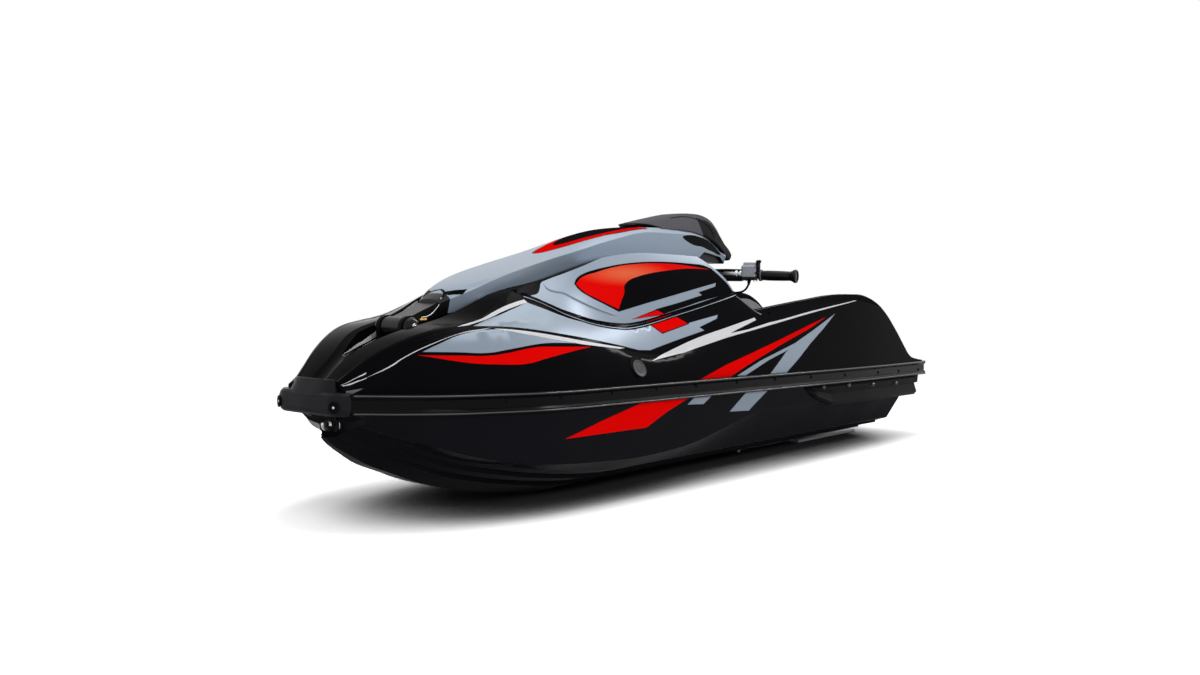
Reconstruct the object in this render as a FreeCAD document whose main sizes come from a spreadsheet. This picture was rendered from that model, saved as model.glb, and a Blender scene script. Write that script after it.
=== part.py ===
import FreeCAD, Part
import Sketcher
import math
import os

# Stand-up personal watercraft: hull, deck, hood, swinging handle pole, handlebar, jet pump and steering nozzle.
# X points to the bow, Y to port and Z up. The origin is on the floor, midway along the length.
# All sizes are in millimetres.

Vector = FreeCAD.Vector
doc = FreeCAD.newDocument("Watercraft")
sheet = doc.addObject("Spreadsheet::Sheet", "Sizes")

# Driving sizes
SIZES = {
    "BowTip": 1327.5,
    "SternEnd": -1327.5,
    "NoseFace": 1290,
    "Transom": -1160,
    "ShelfHeight": 205,
    "ShelfEnd": -1290,
    "RailHeightBow": 319,
    "RailHeightStern": 261,
    "RailHalfHeight": 26,
    "RailDepth": 14,
    "RailGroove": 6,
    "RailLip": 9,
    "RailStart": 1286,
    "BumperLip": 2,
    "BumperRound": 9,
    "BeakHeight": 376,
    "BeakFront": 1304,
    "BeakHalf": 74,
    "PadHalf": 36,
    "StrakeWidth": 20,
    "StrakeOne": 0.38,
    "StrakeTwo": 0.70,
    "NotchX": 1266,
    "NotchZ": 258,
    "NotchRadius": 30,
    "NotchHalf": 140,
    "Touch": 0.3,
    "BayFront": 560,
    "BayRear": -60,
    "BayHalf": 170,
    "BayTop": 462,
    "EngineClearance": 10,
    "TrayFront": -232,
    "TrayFloor": 302,
    "TrayFloorHalf": 205,
    "TrayTopHalf": 212,
    "TrayTop": 540,
    "GunwaleRound": 20,
    "MatThickness": 8,
    "MatInset": 12,
    "SideMatThickness": 6,
    "SideMatRear": -1150,
    "ValleyTip": 1212,
    "ValleyFloor": 428,
    "ValleyRear": 862,
    "ValleyFlare": 30,
    "ValleyTop": 620,
    "HoodFront": 764,
    "HoodRear": -150,
    "PoleClearance": 10,
    "PivotX": 1035,
    "PivotZ": 494,
    "PinRadius": 14,
    "PinClearance": 0.4,
    "PinHead": 7,
    "PinHeadLength": 9,
    "PivotBoss": 27,
    "BossHalf": 34,
    "CheekGap": 5,
    "CheekThickness": 12,
    "CheekHalfWidth": 30,
    "BracketBase": 8,
    "BracketTail": 22,
    "PoleNose": 925,
    "PoleTail": -330,
    "TongueRoot": 50,
    "InsertDepth": 20,
    "CavityDepth": 34,
    "HeadRadius": 30,
    "PadFront": 168,
    "PadTail": -402,
    "PadSink": 20,
    "PadUnderside": 690,
    "SteerX": -292,
    "SteerZ": 628,
    "SteerRake": 8,
    "PostRadius": 16,
    "PostClearance": 0.5,
    "PostFoot": 8,
    "PostLength": 60,
    "HeadFoot": 26,
    "HeadTop": 86,
    "BarRadius": 11,
    "BarHalf": 352,
    "BarSweep": 62,
    "BarDrop": 6,
    "BarKink": 105,
    "BarBend": 0.2,
    "ClampLength": 46,
    "ClampWidth": 64,
    "ClampHeight": 34,
    "GripRadius": 16,
    "GripLength": 122,
    "GripFlange": 22,
    "GripDisc": 9,
    "GripCollar": 5,
    "SwitchLength": 52,
    "SwitchDepth": 42,
    "SwitchHeight": 52,
    "ThrottleHeight": 40,
    "HousingChamfer": 6,
    "HousingGap": 8,
    "LeverReach": 24,
    "LeverLength": 70,
    "LeverWidth": 14,
    "LeverThickness": 7,
    "CollarPlay": 0.4,
    "CableRadius": 3.5,
    "CableBend": 0.45,
    "PumpHeight": 112,
    "PumpFront": -800,
    "PumpLength": 350,
    "PumpBore": 74,
    "PumpWall": 8,
    "PumpFlange": 14,
    "PumpFlangeLength": 12,
    "PumpConeStart": 235,
    "PumpConeEnd": 308,
    "PumpMouth": 32,
    "PumpMouthWall": 5,
    "TunnelHalf": 104,
    "IntakeFront": -430,
    "IntakeHalf": 74,
    "IntakeRoof": 30,
    "IntakeThroat": 110,
    "GrateBars": 5,
    "GrateBarRadius": 5,
    "GrateRise": 3,
    "GrateEnd": 14,
    "GrateEndHeight": 12,
    "RidePlateFront": -790,
    "RidePlateRear": -1212,
    "RidePlateHalf": 98,
    "RidePlateThickness": 9,
    "RidePlateNotch": 36,
    "RidePlateNotchHalf": 33,
    "ImpellerSetback": 50,
    "ImpellerRadius": 68,
    "ImpellerHub": 26,
    "ImpellerNose": 17,
    "ImpellerLength": 66,
    "BladeCount": 3,
    "BladeThickness": 6,
    "BladeTwist": 100,
    "StatorGap": 12,
    "StatorLength": 145,
    "StatorHub": 25,
    "StatorTip": 9,
    "StatorTaper": 55,
    "VaneCount": 6,
    "VaneStart": 60,
    "VaneLength": 65,
    "VaneThickness": 4,
    "VaneClearance": 0.3,
    "ShaftRadius": 12.5,
    "ShaftTail": 50,
    "ShaftStub": 4,
    "BearingClearance": 0.3,
    "BearingWall": 7.5,
    "BearingLength": 60,
    "BearingFlange": 30,
    "BearingFlangeLength": 4,
    "BearingMargin": 4,
    "NozzlePivot": 36,
    "NozzleLead": 30,
    "NozzleLength": 112,
    "NozzleInlet": 60,
    "NozzleOutlet": 46,
    "NozzleWall": 6,
    "NozzleBoss": 11,
    "NozzleBossFoot": 58,
    "NozzleBossTop": 69,
    "NozzlePin": 5,
    "NozzlePinClearance": 0.4,
    "ArmHalf": 12,
    "ArmFoot": 75,
    "ArmTop": 83,
    "EyeThickness": 10,
    "EyeHalfHeight": 16,
    "EyeHole": 9,
    "BowEyeSetback": 9,
    "SternEyeY": 150,
    "SternEyeZ": 150,
    "SternEyeReach": 24,
    "EyePlateHalf": 22,
    "EyePlateHalfHeight": 30,
    "EyePlateThickness": 6,
    "PlugY": 210,
    "PlugZ": 110,
    "PlugRadius": 17,
    "PlugKnob": 9,
    "PlugFlange": 5,
    "PlugLength": 16,
    "ExhaustY": -160,
    "ExhaustZ": 150,
    "ExhaustRadius": 24,
    "ExhaustBore": 19,
    "ExhaustFlange": 30,
    "ExhaustFlangeLength": 10,
    "ExhaustLength": 34,
    "OutletX": 471,
    "OutletZ": 372,
    "OutletRadius": 30,
    "OutletStand": 3,
    "SponsonFront": -400,
    "SponsonRear": -1255,
    "SponsonDepth": 24,
    "SponsonHeight": 72,
    "SponsonDrop": 4,
    "StrakeFullHalf": 200,
    "StrakeFall": 0.5,
    "StrakeStep": 1.5,
    "MatDrop": 3,
    "PoleFootInset": 10,
    "PoleCrown": 6,
    "PoleEdge": 3,
    "TongueInset": 4,
    "PadEdge": 6,
    "PadOverlap": 4,
    "PadLip": 8,
    "PadCrown": 2,
    "SponsonLip": 2,
}

# How far a cutter passes the face that it opens, and how far above the craft's top it reaches
OVER = 1.0
ABOVE = 80.0

# Shares of a form's own size
POLE_SHOULDER = 0.72
PAD_SHOULDER = 0.6
TONGUE_SHARE = 0.8
CLAMP_LOW = 0.65
HOUSING_REAR = 0.52
CORNER_SHARE = 0.9
WAIST_DEPTH = 0.4
WAIST_HEIGHT = 0.42
SPONSON_TAPER = ((0.0, 0.10), (0.08, 0.55), (0.2, 1.0), (0.5, 1.0), (0.8, 1.0), (1.0, 1.0))

# Sections along each lofted form, and how they crowd towards the bow
BOW_CROWD = 1.35
HULL_SECTIONS = 24
DECK_SECTIONS = 26
ROUNDING_SECTIONS = 15
TROUGH_SECTIONS = 12
RAIL_SECTIONS = 18
POLE_SECTIONS = 16
PAD_SECTIONS = 9
BLADE_STEPS = 5
PROFILE_STEPS = 40

# Moulded lines, bow first: distance forward and half breadth or height, each in mm
LINES = {
    "rail_half": ((1290, 131), (1200, 212), (1126, 273), (1034, 316), (900, 360), (750, 382),
                  (0, 382.5), (-700, 375), (-1327.5, 345)),
    "keel_height": ((1290, 272), (1248, 205), (1187, 167), (1124, 134), (1025, 95), (922, 60),
                    (813, 36), (700, 16), (560, 0), (-1327.5, 0)),
    "chine_half": ((1290, 20), (1240, 60), (1150, 124), (991, 205), (849, 247), (697, 266), (446, 272),
                   (-797, 270), (-1327.5, 262)),
    "chine_height": ((1290, 282), (1240, 254), (1150, 216), (991, 157), (849, 129), (697, 102), (446, 79),
                     (-797, 79), (-1327.5, 70)),
    "knuckle_half": ((1290, 50), (1240, 108), (1185, 168), (1057, 262), (920, 322), (772, 346), (613, 352),
                     (-54, 350), (-1327.5, 325)),
    "knuckle_height": ((1290, 288), (1240, 262), (1185, 238), (1057, 190), (920, 155), (772, 137), (613, 126),
                       (442, 119), (256, 127), (157, 140), (-54, 180), (-196, 199), (-408, 196),
                       (-745, 183), (-1327.5, 176)),
    "crown_height": ((1290, 364), (1217, 424), (1147, 456), (1050, 484), (900, 520), (785, 562),
                     (630, 602), (452, 642), (288, 658), (98, 656), (-100, 650), (-1327.5, 560)),
    "lip_half": ((1290, 26), (1217, 36), (1147, 70), (1111, 85), (978, 105), (886, 120), (785, 130),
                 (630, 142), (452, 150), (-1327.5, 150)),
    "lip_height": ((1290, 368), (1217, 431), (1147, 472), (1111, 486), (978, 518), (886, 553),
                   (785, 590), (679, 607), (553, 640), (452, 668), (288, 688), (98, 684),
                   (-100, 676), (-1327.5, 570)),
    "ridge_half": ((1290, 76), (1244, 96), (1177, 130), (1074, 170), (992, 186), (900, 190), (785, 160),
                   (679, 152), (553, 178), (452, 200), (288, 215), (98, 220), (-1327.5, 225)),
    "ridge_height": ((1290, 370), (1244, 408), (1177, 455), (1074, 494), (992, 505), (900, 524),
                     (785, 581), (679, 605), (553, 640), (452, 673), (288, 694), (98, 689),
                     (-100, 678), (-1327.5, 575)),
    "seam_half": ((1290, 92), (1177, 160), (1074, 218), (992, 240), (900, 255), (785, 262), (670, 268),
                  (577, 274), (493, 280), (201, 280), (68, 275), (-128, 270), (-887, 292), (-1327.5, 292)),
    "seam_height": ((1290, 362), (1177, 436), (1074, 477), (992, 492), (900, 502), (785, 512),
                    (730, 518), (670, 511), (577, 500), (493, 487), (322, 494), (201, 514),
                    (68, 535), (-128, 566), (-887, 575), (-1327.5, 540)),
    "crease_half": ((1290, 106), (1170, 176), (1066, 242), (991, 270), (939, 288), (851, 305),
                    (753, 318), (634, 322), (300, 326), (-229, 330), (-842, 320), (-1327.5, 300)),
    "crease_height": ((1290, 356), (1226, 391), (1170, 423), (1066, 468), (991, 485), (939, 490),
                      (851, 485), (753, 469), (634, 447), (516, 425), (400, 404), (300, 398),
                      (68, 418), (-229, 465), (-842, 530), (-1327.5, 500)),
    "valley_half": ((1212, 4), (1111, 60), (978, 84), (862, 102)),
    "pole_half": ((925, 46), (900, 62), (860, 84), (800, 102), (700, 110), (438, 110), (-102, 108),
                  (-330, 92)),
    "pole_crease": ((925, 555), (877, 577), (766, 622), (608, 664), (438, 702),
                    (256, 742), (109, 762), (-102, 758), (-242, 728), (-330, 690)),
    "pole_top": ((925, 565), (886, 590), (737, 636), (536, 687), (316, 746), (222, 765),
                 (109, 780), (-102, 784), (-242, 760), (-330, 718)),
    "pole_floor": ((925, 518), (900, 527), (800, 548), (700, 572), (600, 597), (450, 628),
                   (300, 652), (100, 670), (-150, 672), (-330, 664)),
    "pad_half": ((168, 52), (80, 84), (-60, 98), (-200, 100), (-340, 88), (-402, 70)),
    "pad_top": ((168, 777), (60, 800), (-83, 823), (-180, 836), (-238, 839), (-307, 822),
                (-367, 790), (-402, 735)),
    "gunwale_height": ((-259, 506), (-457, 525), (-657, 542), (-798, 552), (-887, 553), (-947, 541),
                       (-1024, 498), (-1104, 418), (-1185, 334), (-1222, 308), (-1286, 295),
                       (-1340, 288)),
}

# Rear end of the hood and the deck's step down to the gunwales, from the hood back
STEP = ((35, 692), (-3, 678), (-54, 648), (-104, 603), (-127, 568), (-153, 541), (-187, 514), (-220, 503),
        (-262, 506))

# Joint line between the hood and the deck, front first
HOOD_JOINT = ((820, 604), (785, 589), (730, 564), (670, 531), (628, 515), (577, 501), (493, 487),
              (322, 494), (201, 514), (68, 535), (-128, 572), (-190, 584))

# Outlines on the side of the pole, distance forward and height
INSERT = ((-68, 754), (-115, 758), (-169, 752), (-231, 738), (-275, 714), (-304, 692),
          (-266, 700), (-216, 711), (-178, 720), (-110, 730))
CAVITY = ((-161, 680), (-195, 703), (-245, 697), (-302, 687), (-322, 672), (-300, 655), (-300, 640),
          (-199, 640))

# Control cable, from the switch housing to the bar clamp
CABLE = ((-312, 200, 608), (-311, 196, 574), (-304, 140, 562), (-294, 78, 585), (-292, 34.5, 609))


def fill_sheet():
    row = 1
    for name, value in SIZES.items():
        sheet.set("A%d" % row, name)
        sheet.set("B%d" % row, str(value))
        sheet.setAlias("B%d" % row, name)
        row += 1
    doc.recompute()


def size(name):
    return float(sheet.get(name))


def line(name, x):
    """Smooth value of a moulded line at x, with no overshoot between its points."""
    points = sorted(LINES[name])
    if x <= points[0][0]:
        return points[0][1]
    if x >= points[-1][0]:
        return points[-1][1]
    xs = [p[0] for p in points]
    ys = [p[1] for p in points]
    gaps = [b - a for a, b in zip(xs, xs[1:])]
    slopes = [(d - c) / g for c, d, g in zip(ys, ys[1:], gaps)]
    tangents = [slopes[0]]
    for before, after in zip(slopes, slopes[1:]):
        product = before * after
        tangents.append(2 * product / (before + after) if product > 0 else 0.0)
    tangents.append(slopes[-1])
    k = max(i for i, at in enumerate(xs[:-1]) if at <= x)
    u = (x - xs[k]) / gaps[k]
    return ((1 + 2 * u) * (1 - u) ** 2 * ys[k] + u * (1 - u) ** 2 * gaps[k] * tangents[k]
            + u * u * (3 - 2 * u) * ys[k + 1] + u * u * (u - 1) * gaps[k] * tangents[k + 1])


def rail_height(x):
    """Height of the plane where hull and deck are bonded, at x."""
    share = (x - size("SternEnd")) / (size("NoseFace") - size("SternEnd"))
    return size("RailHeightStern") + share * (size("RailHeightBow") - size("RailHeightStern"))


fill_sheet()

# Places along the pump, as formulas of sheet cells
PUMP_REAR = "(Sizes.PumpFront - Sizes.PumpLength)"
NOZZLE_X = "(Sizes.PumpFront - Sizes.PumpLength - Sizes.NozzlePivot)"
IMPELLER_X = "(Sizes.PumpFront - Sizes.ImpellerSetback)"
STATOR_X = "(Sizes.PumpFront - Sizes.ImpellerSetback - Sizes.ImpellerLength / 2 - Sizes.StatorGap)"
SHAFT_END = "(Sizes.PumpFront - Sizes.ImpellerSetback - Sizes.ImpellerLength / 2 - Sizes.StatorGap - Sizes.ShaftTail)"
BAY_FLOOR = "(Sizes.PumpHeight - Sizes.BearingFlange - Sizes.BearingMargin)"


def worked(formula):
    return float(sheet.evalExpression(formula))


def put(label, shape):
    """A sub-part whose shape is worked out from the moulded lines."""
    item = doc.addObject("Part::Feature", label)
    item.Label = label
    item.Shape = shape
    item.Placement = FreeCAD.Placement()
    return item


def polygon(points):
    return Part.makePolygon([Vector(*p) for p in points] + [Vector(*points[0])])


def bowed(a, b, bulge):
    """Curved edge from a to b that stands out by bulge, upwards and outwards from the centre plane."""
    middle = (a + b) / 2
    across = b - a
    normal = Vector(0, -across.z, across.y)
    if normal.Length > 0:
        normal.normalize()
    if normal.z < 0 or (abs(normal.z) < 1e-6 and normal.y * middle.y < 0):
        normal = normal * -1
    curve = Part.BezierCurve()
    curve.setPoles([a, middle + normal * 2 * bulge, b])
    return curve.toBSpline().toShape()


def bent(a, corner, b, count):
    """Points of a smooth corner from a to b, drawn towards its corner point."""
    points = []
    for k in range(count + 1):
        t = k / count
        points.append(tuple((1 - t) ** 2 * p + 2 * t * (1 - t) * c + t * t * q for p, c, q in zip(a, corner, b)))
    return points


def loft(wires, ruled=False):
    return Part.makeLoft(wires, True, ruled)


def mirrored(shape):
    return shape.mirror(Vector(0, 0, 0), Vector(0, 1, 0))


def slab(x0, x1, y0, y1, z0, z1):
    return Part.makeBox(x1 - x0, y1 - y0, z1 - z0, Vector(x0, y0, z0))


def side_prism(points, y0, y1):
    """Solid over a closed outline in the X-Z plane, from y0 to y1 across."""
    face = Part.Face(polygon([(x, y0, z) for x, z in points]))
    return face.extrude(Vector(0, y1 - y0, 0))


def tube_x(radius, x0, x1, z, y=0.0):
    return Part.makeCylinder(radius, x1 - x0, Vector(x0, y, z), Vector(1, 0, 0))


def tube_y(radius, y0, y1, x, z):
    return Part.makeCylinder(radius, y1 - y0, Vector(x, y0, z), Vector(0, 1, 0))


def bent_rod(points, radius, share):
    """Round rod along straight runs, each corner an arc that takes a share of its shorter run."""
    spots = [Vector(*p) for p in points]
    pieces = []
    last = spots[0]
    for before, corner, after in zip(spots, spots[1:], spots[2:]):
        back = before - corner
        ahead = after - corner
        trim = share * min(back.Length, ahead.Length)
        back.normalize()
        ahead.normalize()
        enter = corner + back * trim
        turn = math.pi - back.getAngle(ahead)
        inward = back + ahead
        centre = corner + inward.normalize() * (trim / math.sin(turn / 2))
        pieces.append(Part.makeCylinder(radius, (enter - last).Length, last, enter - last))
        disc_face = Part.Face(Part.Wire([Part.makeCircle(radius, enter, back)]))
        pieces.append(disc_face.revolve(centre, ahead.cross(back), math.degrees(turn)))
        last = corner + ahead * trim
    pieces.append(Part.makeCylinder(radius, (spots[-1] - last).Length, last, spots[-1] - last))
    return pieces[0].fuse(pieces[1:])


def stations(front, rear, count, crowd):
    """Stations from front to rear that crowd together towards the bow."""
    return [front - (front - rear) * (k / (count - 1)) ** crowd for k in range(count)]


def on_both_sides(name, shape):
    put(name + "_port", shape)
    put(name + "_starboard", mirrored(shape))


# Hull


def hull_section(x):
    keel = line("keel_height", x)
    chine = Vector(x, line("chine_half", x), line("chine_height", x))
    pad = min(size("PadHalf"), chine.y / 4)
    start = Vector(x, pad, keel)
    points = [start]
    width = size("StrakeWidth") * min(1.0, chine.y / size("StrakeFullHalf"))
    for share in (size("StrakeOne"), size("StrakeTwo")):
        inner = start + (chine - start) * share
        outer = Vector(x, inner.y + width, inner.z - size("StrakeFall"))
        rise = start + (chine - start) * (share + width / (chine.y - pad))
        points += [inner, outer, Vector(x, outer.y + size("StrakeStep"), rise.z)]
    points.append(chine)
    edge = line("rail_half", x) - size("RailDepth")
    points.append(Vector(x, line("knuckle_half", x), line("knuckle_height", x)))
    points.append(Vector(x, edge, rail_height(x) - size("RailHalfHeight")))
    points.append(Vector(x, edge, rail_height(x)))
    other = [Vector(p.x, -p.y, p.z) for p in reversed(points)]
    return Part.makePolygon(points + other + [points[0]])


def engine_bay(low, high):
    half = size("BayHalf")
    return slab(size("BayRear"), size("BayFront"), -half, half, low, high)


def make_hull():
    places = stations(size("NoseFace"), size("ShelfEnd"), HULL_SECTIONS, BOW_CROWD)
    hull = loft([hull_section(x) for x in places])
    rear = size("Transom")
    front = size("PumpFront")
    z = size("PumpHeight")
    wide = size("BowTip")
    under_keel = slab(-wide, wide, -wide, wide, -wide, 0)
    under_shelf = slab(-wide, rear, -wide, wide, -wide, size("ShelfHeight"))
    tunnel = tube_x(size("TunnelHalf"), rear - OVER, front, z)
    seat = size("RidePlateHalf") + size("Touch")
    slot = slab(rear - OVER, front, -seat, seat, -OVER, z)
    half = size("IntakeHalf")
    roof = z + half
    duct = side_prism(((size("IntakeFront"), -OVER), (front - 5 * OVER, -OVER), (front - 5 * OVER, roof),
                       (front + size("IntakeThroat"), roof), (size("IntakeFront"), size("IntakeRoof"))), -half, half)
    shaft_hole = tube_x(size("ShaftRadius") + size("BearingWall"), front, size("BayRear") + OVER, z)
    notch = tube_y(size("NotchRadius"), -size("NotchHalf"), size("NotchHalf"), size("NotchX"), size("NotchZ"))
    return hull.cut([under_keel, under_shelf, engine_bay(worked(BAY_FLOOR), rail_height(0) + ABOVE), tunnel, slot,
                     duct, shaft_hole, notch])


# Deck and hood share one outer form

BULGES = (1.0, 6.0, 3.0, 7.0)


def top_section(x):
    edge = line("rail_half", x) - size("RailDepth")
    low = rail_height(x)
    high = low + size("RailHalfHeight")
    knots = [Vector(x, line(name + "_half", x), line(name + "_height", x))
             for name in ("lip", "ridge", "seam", "crease")]
    knots.append(Vector(x, edge, high))
    port = [bowed(a, b, bulge) for a, b, bulge in zip(knots, knots[1:], BULGES)]
    flip = [Vector(p.x, -p.y, p.z) for p in knots]
    starboard = [bowed(b, a, bulge) for a, b, bulge in zip(flip, flip[1:], BULGES)]
    crown = Part.BezierCurve()
    crown.setPoles([flip[0], Vector(x, 0, 2 * line("crown_height", x) - knots[0].z), knots[0]])
    foot = Vector(x, edge, low)
    edges = list(reversed(starboard)) + [crown.toBSpline().toShape()] + port
    edges.append(Part.makeLine(knots[-1], foot))
    edges.append(Part.makeLine(foot, Vector(x, -edge, low)))
    edges.append(Part.makeLine(Vector(x, -edge, low), flip[-1]))
    return Part.Wire(edges)


def cut_above(points):
    """Solid above a smooth line in the side view, wider and higher than the craft."""
    far = size("BowTip")
    curve = Part.BSplineCurve()
    curve.interpolate([Vector(x, -far, z) for x, z in points])
    a = Vector(points[0][0], -far, points[0][1])
    b = Vector(points[-1][0], -far, points[-1][1])
    above_a = Vector(a.x, -far, far)
    above_b = Vector(b.x, -far, far)
    wire = Part.Wire([curve.toShape(), Part.makeLine(b, above_b), Part.makeLine(above_b, above_a),
                      Part.makeLine(above_a, a)])
    return Part.Face(wire).extrude(Vector(0, 2 * far, 0))


def gunwale_profile(drop=0.0):
    """Side view of the step behind the hood and of the gunwales, lowered by drop."""
    rear = LINES["gunwale_height"][-1][0]
    front = STEP[-1][0]
    count = PROFILE_STEPS
    places = [front + (rear - front) * k / count for k in range(1, count + 1)]
    points = list(STEP) + [(x, line("gunwale_height", x)) for x in places]
    return [(x, z - drop) for x, z in points]


def tray_wall(z):
    """Half breadth of the tray at height z."""
    lean = (size("TrayTopHalf") - size("TrayFloorHalf")) / (size("TrayTop") - size("TrayFloor"))
    return size("TrayFloorHalf") + lean * (z - size("TrayFloor"))


def deck_side(x, z):
    """Half breadth of the deck's side between its crease and its seam line, at height z."""
    low = line("crease_height", x)
    share = (z - low) / (line("seam_height", x) - low)
    return line("crease_half", x) + share * (line("seam_half", x) - line("crease_half", x))


def gunwale_rounding():
    """Two cutters that round the inner and the outer top edge of the port gunwale."""
    front = STEP[-1][0]
    rear = (size("Transom") + size("ShelfEnd")) / 2
    fade = 4.5 * size("GunwaleRound")
    inner_wires = []
    outer_wires = []
    for x in stations(front, rear, ROUNDING_SECTIONS, 1.0):
        top = line("gunwale_height", x)
        r = size("GunwaleRound") * min(1.0, 0.25 + (front - x) / fade, 0.25 + (x - rear) / fade)
        far = top + ABOVE
        lift = top + OVER
        wall = tray_wall(top)
        inner = bent((x, tray_wall(top - r) - OVER, top - r), (x, wall, lift), (x, wall + r, lift), 4)
        inside = wall - 2 * size("GunwaleRound")
        inner_wires.append(polygon([(x, inside, far), (x, inside, top - r)] + inner + [(x, wall + r, far)]))
        side = deck_side(x, top)
        low = top - CORNER_SHARE * r
        outside = side + 3 * size("GunwaleRound")
        outer = bent((x, side - r, lift), (x, side, lift), (x, deck_side(x, low) + 4 * OVER, low), 4)
        outer_wires.append(polygon([(x, side - r, far)] + outer + [(x, outside, low - 3 * OVER), (x, outside, far)]))
    return [loft(inner_wires), loft(outer_wires)]


def pole_section(x):
    half = line("pole_half", x)
    a = Vector(x, half - size("PoleFootInset"), line("pole_floor", x))
    b = Vector(x, half, line("pole_crease", x))
    c = Vector(x, half * POLE_SHOULDER, line("pole_top", x) - size("PoleEdge"))
    crown = Part.BezierCurve()
    crown.setPoles([c, Vector(x, 0, c.z + size("PoleCrown")), Vector(x, -c.y, c.z)])
    d, e, f = (Vector(x, -p.y, p.z) for p in (c, b, a))
    return Part.Wire([bowed(a, b, 0.0), bowed(b, c, 1.0), crown.toBSpline().toShape(),
                      bowed(d, e, 1.0), bowed(e, f, 0.0), Part.makeLine(f, a)])


def trough():
    """Space in the deck and hood that the pole lies in and swings out of."""
    grow = size("PoleClearance")
    wires = []
    nose = size("PoleNose")
    for x in [nose + 2.5 * grow] + stations(nose - 2 * grow, size("PoleTail"), TROUGH_SECTIONS, 1.0):
        half = line("pole_half", x) + grow
        floor = line("pole_floor", x) - grow
        top = size("BowTip")
        wires.append(polygon(((x, half, floor), (x, half + grow, top), (x, -half - grow, top), (x, -half, floor))))
    return loft(wires)


def valley():
    """Sunken space in the bow deck round the pole's pivot, with its walls leaning out."""
    floor = size("ValleyFloor")
    top = size("ValleyTop")
    places = [size("ValleyTip")] + [x for x, y in LINES["valley_half"][1:-1]] + [size("ValleyRear")]
    low = [(x, line("valley_half", x), floor) for x in places]
    high = [(x, line("valley_half", x) + size("ValleyFlare"), top) for x in places]
    wires = [polygon(edge + [(x, -y, z) for x, y, z in reversed(edge)]) for edge in (low, high)]
    return loft(wires, True)


def tray():
    floor = size("TrayFloor")
    top = size("TrayTop") + ABOVE
    front = size("TrayFront")
    outline = polygon(((front, tray_wall(floor), floor), (front, tray_wall(top), top),
                       (front, -tray_wall(top), top), (front, -tray_wall(floor), floor)))
    return Part.Face(outline).extrude(Vector(size("SternEnd") - 20 - front, 0, 0))


def make_deck_and_hood():
    places = stations(size("NoseFace"), size("SternEnd"), DECK_SECTIONS, BOW_CROWD)
    outer = loft([top_section(x) for x in places])
    rounding = gunwale_rounding()
    rounding += [mirrored(cutter) for cutter in rounding]
    outer = outer.cut([cut_above(gunwale_profile()), tray(), valley(), trough()])
    far = size("BowTip")
    gap = size("Touch")
    above = cut_above(HOOD_JOINT)
    limits = slab(size("HoodRear"), size("HoodFront"), -far, far, 0, far)
    hood = outer.common(above.common(limits).translated(Vector(0, 0, gap)))
    room = slab(size("HoodRear") - gap, size("HoodFront") + gap, -far, far, 0, far)
    deck = outer.cut([above.common(room), engine_bay(rail_height(0) - ABOVE, size("BayTop"))] + rounding)
    return deck, hood


hull_shape = make_hull()
deck_shape, hood_shape = make_deck_and_hood()
put("hull", hull_shape)
put("deck", deck_shape)
put("engine_hood", hood_shape)

# Objects bound to the sheet


def bind(item, **formulas):
    """Ties properties of an object to formulas of sheet cells."""
    for name, formula in formulas.items():
        item.setExpression(name.replace("__", "."), formula)
    return item


def solid_box(name, corner, sides):
    item = doc.addObject("Part::Box", name)
    bind(item, Length=sides[0], Width=sides[1], Height=sides[2])
    return bind(item, Placement__Base__x=corner[0], Placement__Base__y=corner[1], Placement__Base__z=corner[2])


TURNS = {"X": FreeCAD.Rotation(Vector(0, 1, 0), 90), "Y": FreeCAD.Rotation(Vector(1, 0, 0), -90),
         "Z": FreeCAD.Rotation()}


def solid_rod(name, axis, radius, start, length):
    """Cylinder along X, Y or Z from its start point."""
    item = doc.addObject("Part::Cylinder", name)
    item.Placement = FreeCAD.Placement(Vector(), TURNS[axis])
    bind(item, Radius=radius, Height=length)
    return bind(item, Placement__Base__x=start[0], Placement__Base__y=start[1], Placement__Base__z=start[2])


def joined(name, items):
    item = doc.addObject("Part::MultiFuse", name)
    item.Shapes = items
    return item


def pierced(name, base, tool):
    item = doc.addObject("Part::Cut", name)
    item.Base = base
    item.Tool = tool
    return item


def new_body(name, x="0", y="0", z="0"):
    """Design body whose place is given by formulas."""
    item = doc.addObject("PartDesign::Body", name)
    return bind(item, Placement__Base__x=x, Placement__Base__y=y, Placement__Base__z=z)


def origin_part(body, role):
    return next(item for item in body.Origin.OriginFeatures if item.Role == role)


def new_sketch(body, role, offset):
    sketch = body.newObject("Sketcher::SketchObject", body.Name + "_sketch")
    sketch.AttachmentSupport = [(origin_part(body, role), "")]
    sketch.MapMode = "FlatFace"
    if offset:
        sketch.setExpression("AttachmentOffset.Base.z", offset)
    return sketch


def fix_point(sketch, index, point, across, up):
    """Holds one point of a sketch at two distances from its origin, each a formula."""
    for kind, formula, axis in (("DistanceX", across, -2), ("DistanceY", up, -1)):
        if formula == "0":
            sketch.addConstraint(Sketcher.Constraint("PointOnObject", index, point, axis))
            continue
        at = sketch.addConstraint(Sketcher.Constraint(kind, -1, 1, index, point, worked(formula)))
        sketch.setExpression("Constraints[%d]" % at, formula)


def outline(body, role, points, offset=None):
    """Closed outline on an origin plane, with each corner held by two formulas."""
    sketch = new_sketch(body, role, offset)
    spots = [Vector(worked(across), worked(up), 0) for across, up in points]
    count = len(spots)
    for k in range(count):
        sketch.addGeometry(Part.LineSegment(spots[k], spots[(k + 1) % count]))
    for k in range(count):
        sketch.addConstraint(Sketcher.Constraint("Coincident", k, 2, (k + 1) % count, 1))
    for k, (across, up) in enumerate(points):
        fix_point(sketch, k, 1, across, up)
    return sketch


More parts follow.
